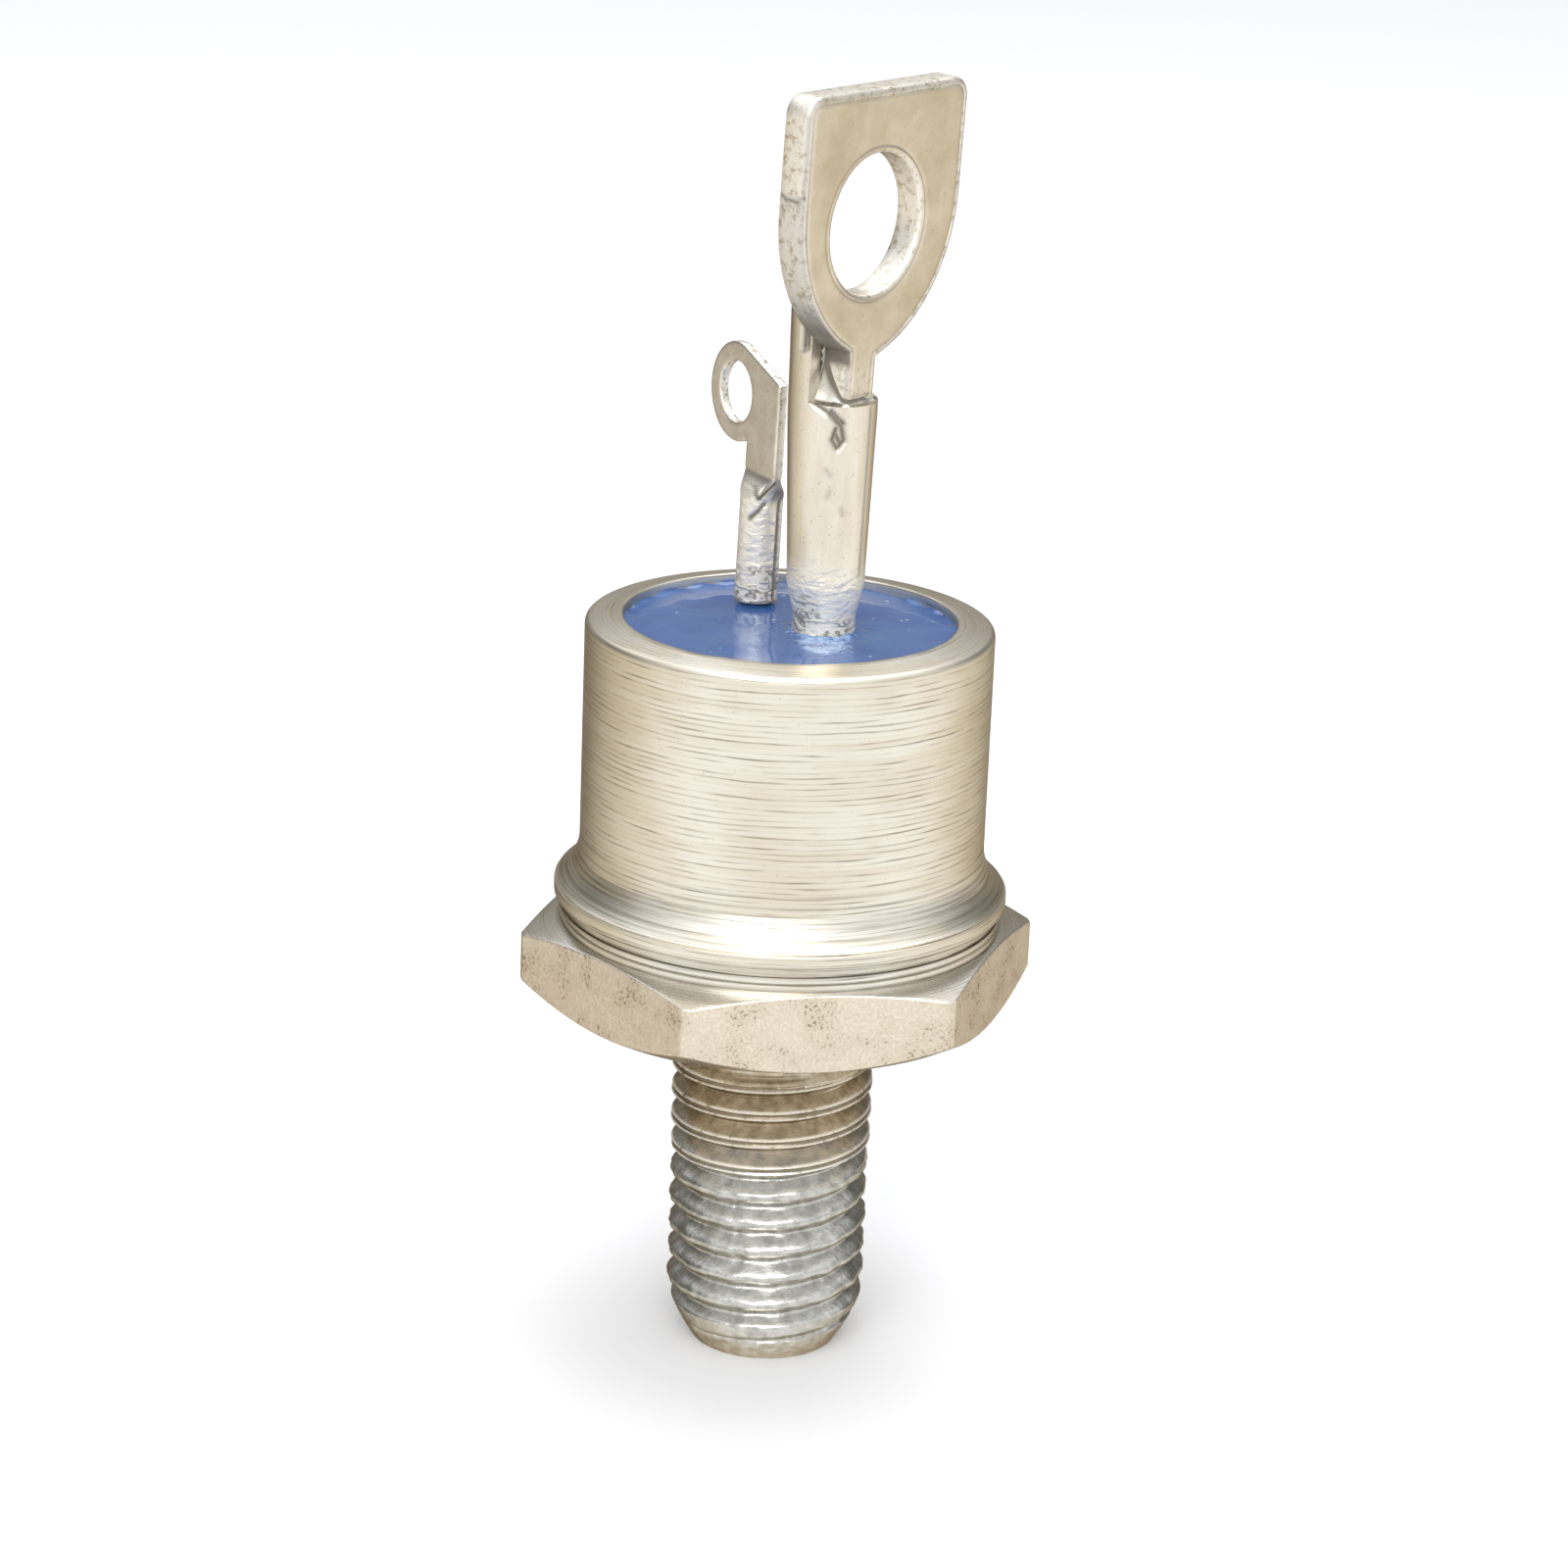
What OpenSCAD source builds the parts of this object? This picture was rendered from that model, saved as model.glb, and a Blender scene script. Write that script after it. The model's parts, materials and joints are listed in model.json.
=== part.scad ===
// Stud-mounted thyristor in a sealed metal case with a blue glass header.
// The origin is the centre of the seating face, under the hexagon. The stud points down, the terminals up.
// The copper base is the anode, the large tag is the cathode and the small tag is the gate.
// All lengths are millimetres and all angles are degrees.

/* [Hexagon base] */
// Width of the hexagon across its flats
hex_af = 14; // [13.8:0.1:14.5]
// How far the six turned corners lie outside the flats
corner_over = 1; // [0.9:0.05:1.1]
// Height of a flat at its middle
hex_h = 2.45; // [2.2:0.05:3.2]
// Slope of the turned shoulder over the flats
hex_top_deg = 18; // [12:1:24]
// Slope of the chamfer under the flats
hex_bottom_deg = 30; // [20:1:35]
// How far the edge of the seating face lies within the flats
seat_step = 0.1; // [0.05:0.05:0.4]
// How far the turned collar on the hexagon lies within the flats
collar_step = 0.2; // [0.15:0.01:0.3]
// Height of the collar's top over the seating face
collar_top = 2.95; // [2.8:0.05:3.8]
// Width and depth of the turned groove round the collar
collar_groove = 0.1; // [0.05:0.01:0.14]
// Room between the case and the raised pad that carries the semiconductor
pedestal_room = 0.5; // [0.4:0.05:0.8]
// Height of the raised pad over the collar
pedestal_h = 0.95; // [0.8:0.05:1.4]

/* [Stud] */
// Diameter over the thread
stud_d = 6.3; // [6:0.05:6.35]
// Length of the stud under the seating face
stud_l = 11.5; // [10.7:0.1:11.6]
// Diameter of the plain neck over the thread
neck_d = 5.75; // [5.4:0.05:5.9]
// Length of the plain neck
neck_l = 1.7; // [1.2:0.1:2.2]
// Radius between the neck and the seating face
neck_fillet = 0.4; // [0.3:0.05:0.5]
// Width of the chamfer at the stud's end
stud_chamfer = 0.8; // [0.5:0.05:1]

/* [Case] */
// Height of the case, its flange included
case_h = 8.85; // [8:0.05:9.5]
// How far the edge of the welded flange lies within the hexagon's flats
flange_step = 0.025; // [0:0.005:0.1]
// Width of the flange outside the case's wall
flange_w = 0.75; // [0.6:0.05:0.9]
// Thickness of the flange at its rim
flange_t = 0.4; // [0.3:0.05:0.6]
// Radius of the hollow sweep from the flange to the case
flare_r = 1.7; // [1.3:0.1:2.2]
// Rounding of the upper outer edge
rim_round = 0.22; // [0.1:0.02:0.4]
// Wall of the mouth that holds the glass
mouth_wall = 1.15; // [1:0.05:1.3]
// Depth of the mouth down to the wider room inside
mouth_l = 3.2; // [3:0.1:3.8]
// Wall of the wider room inside the case
room_wall = 0.825; // [0.7:0.025:0.95]
// How far the steel ring that the flange is welded to lies within the flange's edge
ring_step = 0.225; // [0.15:0.025:0.3]
// Thickness of that ring
ring_t = 0.34; // [0.25:0.01:0.6]

/* [Glass header] */
// Depth of the glass under the rim
glass_recess = 0.27; // [0.15:0.01:0.5]
// Thickness of the glass
glass_t = 2.6; // [2.2:0.1:2.8]
// Height that the glass creeps up the metal
creep = 0.1; // [0.05:0.01:0.14]
// Direction of the cathode tube from the middle of the glass
cathode_azimuth = -25; // [-60:1:20]
// Distance of the cathode tube from the middle of the glass
cathode_off = 1.03; // [0.8:0.01:1.4]
// Direction of the gate pin from the middle of the glass
gate_azimuth = 102; // [80:1:130]
// Distance of the gate pin from the middle of the glass
gate_off = 2.83; // [2.6:0.01:3.2]

/* [Cathode tube] */
// Outer diameter of the tube over its foot
tube_d = 2.35; // [2.1:0.05:2.5]
// Bore of the tube
tube_bore = 1.44; // [1.3:0.02:1.5]
// Outer diameter of the end, which is opened a little
tube_end_d = 2.68; // [2.5:0.02:2.8]
// Diameter of the drawn foot that the glass holds
foot_d = 1.9; // [1.75:0.05:2]
// Height of the foot over the glass
foot_h = 0.45; // [0.3:0.05:0.8]
// Height of the cone from the foot to the tube
foot_cone_h = 1; // [0.6:0.1:1.4]
// Height of the notch's floor over the glass
notch_h = 7.15; // [6.5:0.05:8]
// Height of the half tube behind the tag, over the notch's floor
lap_h = 3.1; // [2.4:0.1:3.2]
// Slope of the cut across the end of the half tube
lap_deg = 20; // [5:5:45]
// Length of the tube under the glass
tube_tail = 0.7; // [0.4:0.1:1]
// Depth of the solder in the tube's end, under the notch's floor
solder_depth = 0.5; // [0.3:0.1:0.8]

/* [Cathode tag] */
// Direction of the tag's width
tag_azimuth = 40.4; // [20:0.1:60]
// Width of the tag
tag_w = 7.5; // [7.2:0.1:7.8]
// Thickness of the tag
tag_t = 0.9; // [0.7:0.05:1]
// Height of the hole over the notch's floor
tag_hole_h = 5.35; // [5.3:0.05:5.8]
// Distance of the tag's middle from the tang's middle, across the tag
tag_shift = 0.38; // [0:0.02:0.5]
// Distance of the hole from the tag's middle, towards the tang
tag_hole_shift = 0.22; // [0:0.02:0.3]
// Height of the tag over the middle of the hole
tag_top = 4; // [3.6:0.1:4.4]
// Diameter of the hole
tag_hole_d = 4.2; // [3.8:0.05:4.4]
// Rounding of the two upper corners
tag_corner_r = 0.6; // [0.3:0.05:1]
// Radius of the two lower sides
tag_side_r = 4.8; // [4.6:0.1:5.2]
// Height over the hole at which the lower sides start
tag_side_h = 0.55; // [0:0.05:1]
// Width of the tang that sits in the notch
tang_w = 1.38; // [1.2:0.02:1.5]
// Distance of the tag's back from the tube's axis, at the notch's floor
tag_off = 0.1; // [0.05:0.01:0.2]
// Lean of the tag against the tube
tag_lean = 2.6; // [1:0.2:5]

/* [Gate terminal] */
// Direction of the gate tag's width
gate_tag_azimuth = -70; // [-90:1:-50]
// Diameter of the pin that the glass holds
pin_d = 0.7; // [0.6:0.02:0.74]
// Height of the pin over the glass
pin_h = 1.4; // [1:0.1:2]
// Length of the pin under the glass
pin_tail = 0.6; // [0.4:0.1:1]
// Outer diameter of the barrel on the pin
barrel_d = 1.32; // [1.2:0.02:1.5]
// Height of the barrel over the glass
barrel_h = 3.2; // [2.8:0.1:3.6]
// Gap between the glass and the barrel
barrel_gap = 0.12; // [0.12:0.01:0.3]
// Height over which the barrel is pressed flat
press_h = 0.85; // [0.6:0.05:1.2]
// Thickness of the sheet
gate_t = 0.3; // [0.25:0.01:0.4]
// Width of the flat strip over the barrel
strip_w = 1.8; // [1.6:0.05:2]
// Distance of the eye from the strip's middle, across the tag
eye_off = 1.7; // [1.5:0.05:1.9]
// Height of the eye over the end of the barrel
eye_h = 3; // [2.9:0.05:3.4]
// Diameter of the hole in the eye
eye_hole_d = 1.9; // [1.5:0.05:2]
// Width of the metal round the hole
eye_ring = 0.6; // [0.45:0.05:0.7]
// Height of the strip's outer corner over the middle of the eye
strip_corner_h = 0.75; // [0.5:0.05:0.9]
// Lean of the gate terminal
gate_lean = 1.4; // [0:0.1:3]
// Direction that the gate terminal leans to
gate_lean_azimuth = -11; // [-40:1:20]

/* [Semiconductor] */
// Diameter of the molybdenum anode plate
anode_d = 8.2; // [8:0.1:8.8]
// Thickness of the anode plate
anode_t = 1; // [0.6:0.1:1.4]
// Thickness of a solder layer
solder_t = 0.08; // [0.05:0.01:0.12]
// Diameter of the silicon pellet at its lower face
pellet_d = 7; // [6.8:0.1:7.2]
// Thickness of the pellet
pellet_t = 0.36; // [0.3:0.02:0.5]
// Angle of the ground edge of the pellet
pellet_edge_deg = 35; // [25:5:60]
// Width of the sealing bead round the pellet
coat_w = 0.4; // [0.2:0.05:0.5]
// Diameter of the cathode plate
cathode_plate_d = 5.4; // [5.2:0.1:5.6]
// Thickness of the cathode plate
cathode_plate_t = 0.45; // [0.3:0.05:0.6]
// Hole in the cathode plate that the gate wire passes through
gate_window_d = 1.4; // [1.2:0.05:1.44]
// Distance of the cathode lead's ferrule from the middle
ferrule_off = 1.64; // [1.6:0.02:1.7]
// Outer diameter of the ferrule
ferrule_d = 1.76; // [1.5:0.02:1.76]
// Height of the ferrule
ferrule_h = 1.1; // [0.8:0.1:1.4]
// Floor of the ferrule
ferrule_floor = 0.2; // [0.1:0.05:0.3]
// Diameter of the stranded cathode lead
lead_d = 1.16; // [1:0.02:1.2]
// Length of the lead inside the tube, short of the solder
lead_short = 0.1; // [0.05:0.05:0.5]
// Diameter of the gate wire
wire_d = 0.4; // [0.3:0.02:0.5]
// Wall of the insulating sleeve on the gate wire
sleeve_wall = 0.15; // [0.1:0.01:0.2]
// Length of the sleeve
sleeve_l = 1.2; // [0.8:0.1:1.4]

/* [Hidden] */

$fn = 96;

// Colours of the metals, the glass and the parts inside
tin = [0.86, 0.82, 0.72];
tin_tag = [0.79, 0.73, 0.60];
nickel_iron = [0.78, 0.77, 0.74];
solder_grey = [0.80, 0.81, 0.82];
blue_glass = [0.24, 0.36, 0.70];
moly = [0.52, 0.53, 0.55];
silicon = [0.27, 0.29, 0.34];
copper = [0.78, 0.47, 0.30];
silicone = [0.90, 0.88, 0.84];
fluoropolymer = [0.95, 0.95, 0.93];

// Stack of heights over the seating face
ring_top = collar_top + ring_t;
case_top = ring_top + case_h;
flange_top = ring_top + flange_t;
glass_top = case_top - glass_recess;
glass_bottom = glass_top - glass_t;
pad_top = collar_top + pedestal_h;
anode_bottom = pad_top + solder_t;
pellet_bottom = anode_bottom + anode_t;
pellet_top = pellet_bottom + pellet_t;
plate_bottom = pellet_top + solder_t;
plate_top = plate_bottom + cathode_plate_t;

// Diameters that follow from the hexagon, from the seating face up to the mouth
hex_r = hex_af / 2;
corner_r = hex_r + corner_over;
seat_r = hex_r - seat_step;
collar_r = hex_r - collar_step;
flange_d = hex_af - 2 * flange_step;
ring_d = flange_d - 2 * ring_step;
case_d = flange_d - 2 * flange_w;
room_d = case_d - 2 * room_wall;
mouth_d = case_d - 2 * mouth_wall;
pedestal_d = room_d - 2 * pedestal_room;
// Height of the turned shoulder where it meets the collar
collar_foot = hex_h + (hex_r - collar_r) * tan(hex_top_deg);

cathode_at = cathode_off * [cos(cathode_azimuth), sin(cathode_azimuth)];
gate_at = gate_off * [cos(gate_azimuth), sin(gate_azimuth)];
ferrule_at = ferrule_off * [cos(cathode_azimuth), sin(cathode_azimuth)];

// Pellet diameter at its upper face, which the ground edge leaves
pellet_top_d = pellet_d - 2 * pellet_t / tan(pellet_edge_deg);
// Diameter of the bead round the pellet's edge
coat_d = pellet_d + 2 * coat_w;
// Bore of the tube's opened end, which keeps the wall
end_bore = tube_bore + tube_end_d - tube_d;
// Sides and rings of the two swept wires
wire_sides = 12;
wire_steps = 12;
// How far the ends of an S-shaped run pull it straight, as a share of its reach
run_pull = 0.6;
// Room round the lead in its ferrule
lead_room = 0.01;
// Thickness of the two ends that a blended shape runs between
skin = 0.02;
// Longer than any piece, for cuts that pass right through
far = 40;

// Unit vector that leans from the vertical by an angle, to an azimuth
function lean_dir(angle, azimuth) =
    [sin(angle) * cos(azimuth), sin(angle) * sin(azimuth), cos(angle)];
// Points of a smooth S-shaped run from point a, pointing up, to point b, along direction d at its end
function s_run(a, b, d, n) =
    let (reach = norm(b - a) * run_pull)
    [for (i = [0 : n]) let (t = i / n, s = 1 - t)
        s * s * s * a + 3 * s * s * t * (a + [0, 0, reach]) + 3 * s * t * t * (b - reach * d)
            + t * t * t * b];
// Direction of a run of points at point i
function run_dir(p, i) =
    let (v = p[min(i + 1, len(p) - 1)] - p[max(i - 1, 0)]) v / norm(v);

// Leans its children about their own origin, to an azimuth
module lean(angle, azimuth) {
    rotate([0, 0, azimuth]) rotate([0, angle, 0]) rotate([0, 0, -azimuth]) children();
}

// Frame of the cathode tube: origin on the glass
module on_cathode() {
    translate([cathode_at[0], cathode_at[1], glass_top]) children();
}

// Frame of the gate terminal: origin on the glass, Z along the pin
module on_gate() {
    translate([gate_at[0], gate_at[1], glass_top]) lean(gate_lean, gate_lean_azimuth) children();
}

// Frame of the cathode tag: origin on the notch's floor, X along its width, Y = 0 at its back
module on_tag() {
    on_cathode() rotate([0, 0, tag_azimuth]) translate([0, -tag_off, notch_h]) rotate([tag_lean, 0, 0])
        children();
}

// Solid swept along a run of points with a round section
module sweep(points, d) {
    n = len(points);
    rings = [for (i = [0 : n - 1])
        let (z = run_dir(points, i), x = cross([0, 1, 0], z) / norm(cross([0, 1, 0], z)), y = cross(z, x))
        for (k = [0 : wire_sides - 1])
            let (a = 360 * k / wire_sides) points[i] + d / 2 * (cos(a) * x + sin(a) * y)];
    walls = [for (i = [0 : n - 2]) for (k = [0 : wire_sides - 1])
        let (a = i * wire_sides + k, b = i * wire_sides + (k + 1) % wire_sides)
            [a, a + wire_sides, b + wire_sides, b]];
    ends = [[for (k = [0 : wire_sides - 1]) k],
            [for (k = [wire_sides - 1 : -1 : 0]) (n - 1) * wire_sides + k]];
    polyhedron(rings, concat(walls, ends));
}

// Outline of the turned base and stud, from the axis outwards
module base_profile() {
    difference() {
        polygon([[0, -stud_l], [stud_d / 2 - stud_chamfer, -stud_l], [stud_d / 2, -stud_l + stud_chamfer],
                 [stud_d / 2, -neck_l - (stud_d - neck_d) / 2], [neck_d / 2, -neck_l],
                 [neck_d / 2, -neck_fillet], [neck_d / 2 + neck_fillet, 0], [seat_r, 0],
                 [corner_r, (corner_r - seat_r) * tan(hex_bottom_deg)],
                 [corner_r, hex_h - (corner_r - hex_r) * tan(hex_top_deg)],
                 [collar_r, collar_foot], [collar_r, collar_top], [pedestal_d / 2, collar_top],
                 [pedestal_d / 2, pad_top], [0, pad_top]]);
        // The neck's fillet is hollow
        translate([neck_d / 2 + neck_fillet, -neck_fillet]) circle(neck_fillet);
        // Groove round the collar
        translate([collar_r - collar_groove, (collar_foot + collar_top - collar_groove) / 2])
            square([far, collar_groove]);
    }
}

// One piece of copper: stud, hexagon, collar and the pad inside the case
module stud_base() {
    color(tin) intersection() {
        rotate_extrude() base_profile();
        union() {
            // The six flats, with the first corner on X
            cylinder(r = hex_r / cos(30), h = collar_foot, $fn = 6);
            translate([0, 0, -far]) cylinder(r = neck_d, h = far);
            translate([0, 0, collar_foot]) cylinder(r = collar_r, h = far);
        }
    }
}

// Steel ring, brazed on the collar round the pad, that the case is welded to
module weld_ring() {
    color(tin) translate([0, 0, collar_top]) difference() {
        cylinder(d = ring_d, h = ring_t);
        translate([0, 0, -far / 2]) cylinder(d = pedestal_d, h = far);
    }
}

// Half section of the case: flange, hollow sweep, wall, rounded rim, mouth and the wider room
module case_profile() {
    // The sweep ends tangent to the wall, and this is how high over the flange it does so
    flare_h = sqrt(pow(flare_r, 2) - pow(flare_r - (flange_d - case_d) / 2, 2));
    difference() {
        polygon([[room_d / 2, ring_top], [flange_d / 2, ring_top], [flange_d / 2, flange_top],
                 [case_d / 2, flange_top + flare_h], [case_d / 2, case_top - rim_round],
                 [case_d / 2 - rim_round, case_top], [mouth_d / 2, case_top],
                 [mouth_d / 2, case_top - mouth_l],
                 [room_d / 2, case_top - mouth_l - (room_d - mouth_d) / 2]]);
        translate([case_d / 2 + flare_r, flange_top + flare_h]) circle(flare_r);
    }
    // Rounded outer edge
    translate([case_d / 2 - rim_round, case_top - rim_round]) intersection() {
        circle(rim_round);
        square(rim_round);
    }
}

module case() {
    color(tin) rotate_extrude() case_profile();
}

// Blue glass, fused into the mouth and round both terminals, creeping up the metal
module glass_seal() {
    color(blue_glass) difference() {
        union() {
            rotate_extrude() polygon([[0, glass_bottom], [mouth_d / 2, glass_bottom],
                [mouth_d / 2, glass_top + creep], [mouth_d / 2 - 2 * creep, glass_top], [0, glass_top]]);
            on_cathode() translate([0, 0, -glass_t / 2])
                cylinder(d1 = foot_d + 4 * creep + glass_t, d2 = foot_d, h = glass_t / 2 + creep);
            on_gate() translate([0, 0, -glass_t / 2])
                cylinder(d1 = pin_d + 4 * creep + glass_t, d2 = pin_d, h = glass_t / 2 + creep);
        }
        on_cathode() translate([0, 0, -far / 2]) cylinder(d = foot_d, h = far);
        on_gate() translate([0, 0, -far / 2]) cylinder(d = pin_d, h = far);
    }
}

// What the tag takes away from the tube's end: the notch in front and the slope across the top
module tag_cuts() {
    on_tag() {
        translate([-far / 2, -far, 0]) cube(far);
        translate([0, 0, lap_h]) rotate([-lap_deg, 0, 0]) translate([-far / 2, -far / 2, 0]) cube(far);
    }
}

// Nickel-iron tube with a drawn foot, opened towards its end, and a half tube left standing behind the tag
module cathode_tube() {
    tube_l = notch_h + lap_h;
    opened = notch_h - solder_depth;
    color(tin) difference() {
        on_cathode() rotate_extrude() polygon([
            [tube_bore / 2, -glass_t - tube_tail], [foot_d / 2, -glass_t - tube_tail], [foot_d / 2, foot_h],
            [tube_d / 2, foot_h + foot_cone_h], [tube_end_d / 2, opened], [tube_end_d / 2, tube_l],
            [end_bore / 2, tube_l], [end_bore / 2, opened], [tube_bore / 2, foot_h + foot_cone_h]]);
        tag_cuts();
    }
}

// Outline of the cathode tag, with the middle of the tang's end at the origin
module tag_outline() {
    w = tag_w / 2;
    side = tag_hole_h + tag_side_h;
    top = tag_hole_h + tag_top;
    difference() {
        union() {
            translate([tag_shift, 0]) {
                // Square part with rounded upper corners
                translate([-w, side]) square([tag_w, top - tag_corner_r - side]);
                translate([-w + tag_corner_r, side]) square([tag_w - 2 * tag_corner_r, top - side]);
                for (s = [-1, 1]) translate([s * (w - tag_corner_r), top - tag_corner_r])
                    circle(tag_corner_r);
                // Lower part between two round sides
                intersection() {
                    translate([w - tag_side_r, side]) circle(tag_side_r);
                    translate([tag_side_r - w, side]) circle(tag_side_r);
                    translate([-w, side - far]) square([tag_w, far]);
                }
            }
            // Tang
            translate([-tang_w / 2, 0]) square([tang_w, tag_hole_h]);
        }
        translate([tag_shift - tag_hole_shift, tag_hole_h]) circle(d = tag_hole_d);
    }
}

// Stamped tag, which other wires or a terminal screw fasten to
module cathode_tag() {
    color(tin_tag) on_tag() rotate([90, 0, 0]) linear_extrude(tag_t) tag_outline();
}

// Solder that fills the tube's end behind the tang
module tag_solder() {
    color(solder_grey) difference() {
        on_cathode() translate([0, 0, notch_h - solder_depth])
            cylinder(d = end_bore, h = solder_depth + lap_h);
        tag_cuts();
    }
}

// Solid pin through the glass that carries the gate terminal
module gate_pin() {
    color(nickel_iron) on_gate() translate([0, 0, -glass_t - pin_tail])
        cylinder(d = pin_d, h = pin_h + glass_t + pin_tail);
}

// Outline of the gate tag's eye and strip, from the end of the pressed barrel
module gate_outline() {
    ring_r = eye_hole_d / 2 + eye_ring;
    corner = [eye_off + strip_w / 2, strip_corner_h];
    // Where the straight upper edge touches the ring
    touch = atan2(corner[1], corner[0]) + acos(ring_r / norm(corner));
    difference() {
        union() {
            circle(ring_r);
            polygon([ring_r * [cos(touch), sin(touch)], corner, [corner[0], press_h - eye_h],
                     [corner[0] - strip_w, press_h - eye_h], [corner[0] - strip_w, 0], [0, 0]]);
        }
        circle(d = eye_hole_d);
    }
}

// Thin sheet, rolled to a barrel on the pin, pressed flat above it and ending in a small eye
module gate_terminal() {
    color(tin_tag) on_gate() rotate([0, 0, gate_tag_azimuth]) {
        difference() {
            translate([0, 0, barrel_gap]) cylinder(d = barrel_d, h = barrel_h - barrel_gap);
            translate([0, 0, -far / 2]) cylinder(d = pin_d, h = far / 2 + barrel_h - gate_t);
        }
        hull() {
            translate([0, 0, barrel_h - skin]) cylinder(d = barrel_d, h = skin, $fn = 32);
            translate([-strip_w / 2, -gate_t / 2, barrel_h + press_h - skin])
                cube([strip_w, gate_t, skin]);
        }
        translate([-eye_off, gate_t / 2, barrel_h + eye_h]) rotate([90, 0, 0])
            linear_extrude(gate_t) gate_outline();
    }
}

// Flat round layer with an optional hole
module layer(d, bottom, t, hole = 0) {
    translate([0, 0, bottom]) difference() {
        cylinder(d = d, h = t);
        if (hole > 0) translate([0, 0, -t]) cylinder(d = hole, h = 3 * t);
    }
}

module anode_solder() {
    color(solder_grey) layer(anode_d, pad_top, solder_t);
}

// Molybdenum plate that spreads the heat and takes up the stretch between silicon and copper
module anode_plate() {
    color(moly) layer(anode_d, anode_bottom, anode_t);
}

// Silicon pellet with its ground edge
module silicon_pellet() {
    color(silicon) translate([0, 0, pellet_bottom])
        cylinder(d1 = pellet_d, d2 = pellet_top_d, h = pellet_t);
}

// Silicone bead that seals the pellet's ground edge
module junction_coat() {
    color(silicone) difference() {
        translate([0, 0, pellet_bottom])
            cylinder(d1 = coat_d, d2 = (coat_d + pellet_top_d) / 2, h = pellet_t);
        silicon_pellet();
    }
}

module cathode_solder() {
    color(solder_grey) layer(cathode_plate_d, pellet_top, solder_t, gate_window_d);
}

// Ring-shaped cathode plate, open in the middle for the gate
module cathode_plate() {
    color(moly) layer(cathode_plate_d, plate_bottom, cathode_plate_t, gate_window_d);
}

// Copper cup on the cathode plate that holds the lead's lower end
module lead_ferrule() {
    color(copper) translate([ferrule_at[0], ferrule_at[1], plate_top]) difference() {
        cylinder(d = ferrule_d, h = ferrule_h);
        translate([0, 0, ferrule_floor]) cylinder(d = lead_d, h = ferrule_h);
    }
}

// Flexible copper lead from the ferrule up into the tube
module cathode_lead() {
    up = [0, 0, 1];
    start = [ferrule_at[0], ferrule_at[1], plate_top + ferrule_h];
    glass = [cathode_at[0], cathode_at[1], glass_top];
    color(copper) sweep(concat([start - (ferrule_h - ferrule_floor) * up],
        s_run(start, glass - (glass_t + tube_tail) * up, up, wire_steps),
        [glass + (notch_h - solder_depth - lead_short) * up]),
        lead_d - 2 * lead_room);
}

// Gate wire from the middle of the pellet to the pin's lower end
module gate_wire() {
    up = lean_dir(gate_lean, gate_lean_azimuth);
    start = [0, 0, pellet_top];
    glass = [gate_at[0], gate_at[1], glass_top];
    // The last stretch is straight, so that the wire's end lies flat on the pin's
    color(tin) sweep(concat([start],
        s_run([0, 0, pellet_top + sleeve_l], glass - (glass_t + pin_tail + wire_d) * up, up, wire_steps),
        [glass - (glass_t + pin_tail) * up]), wire_d);
}

// Insulating sleeve round the wire where it passes the cathode plate
module gate_sleeve() {
    color(fluoropolymer) translate([0, 0, pellet_top]) difference() {
        cylinder(d = wire_d + 2 * sleeve_wall, h = sleeve_l);
        translate([0, 0, -far / 2]) cylinder(d = wire_d, h = far);
    }
}

stud_base();
weld_ring();
case();
glass_seal();
cathode_tube();
cathode_tag();
tag_solder();
gate_pin();
gate_terminal();
anode_solder();
anode_plate();
silicon_pellet();
junction_coat();
cathode_solder();
cathode_plate();
lead_ferrule();
cathode_lead();
gate_wire();
gate_sleeve();
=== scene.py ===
# %% [markdown]
# # Dressing a stud-mounted thyristor
# The object is a power semiconductor in a sealed metal case. A copper base with a hexagon and a threaded
# stud carries a turned steel case, which is closed by blue glass. A large tag and a small one stand on it.
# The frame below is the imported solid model, in metres, with +Z up and its origin on the seating face.
# Every piece made here lies in that same frame, so nothing has to be fitted afterwards.

# %% Load the frame
import json
import math

import bmesh
import bpy
from mathutils import Matrix, Vector, noise
from mathutils.geometry import delaunay_2d_cdt


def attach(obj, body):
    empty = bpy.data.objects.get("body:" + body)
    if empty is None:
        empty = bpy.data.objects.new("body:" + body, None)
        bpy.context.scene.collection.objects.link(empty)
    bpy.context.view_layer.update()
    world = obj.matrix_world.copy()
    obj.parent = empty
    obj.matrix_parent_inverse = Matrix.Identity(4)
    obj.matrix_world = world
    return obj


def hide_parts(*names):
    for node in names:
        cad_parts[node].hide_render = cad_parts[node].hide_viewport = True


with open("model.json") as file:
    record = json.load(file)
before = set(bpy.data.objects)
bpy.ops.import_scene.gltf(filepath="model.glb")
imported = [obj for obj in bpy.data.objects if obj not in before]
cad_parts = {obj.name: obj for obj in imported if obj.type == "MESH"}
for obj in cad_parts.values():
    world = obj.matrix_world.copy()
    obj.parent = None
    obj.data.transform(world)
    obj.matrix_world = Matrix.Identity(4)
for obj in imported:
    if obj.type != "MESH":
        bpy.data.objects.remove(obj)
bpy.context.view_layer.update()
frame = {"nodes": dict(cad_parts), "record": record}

nodes = frame["nodes"]

# %% [markdown]
# The part is 40 mm tall, so lengths are written in millimetres, as its drawing would have them, and turned
# to metres where a mesh or a node is made.

# %% Units and colours
MM = 0.001


def srgb(code):
    """Linear colour of an sRGB hex value such as #e6dcc0."""
    channels = [int(code[i:i + 2], 16) / 255 for i in (1, 3, 5)]
    return tuple(c / 12.92 if c <= 0.04045 else ((c + 0.055) / 1.055) ** 2.4 for c in channels) + (1.0,)


print("a warm tin in linear light:", [round(c, 3) for c in srgb("#e6dcc0")])

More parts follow.
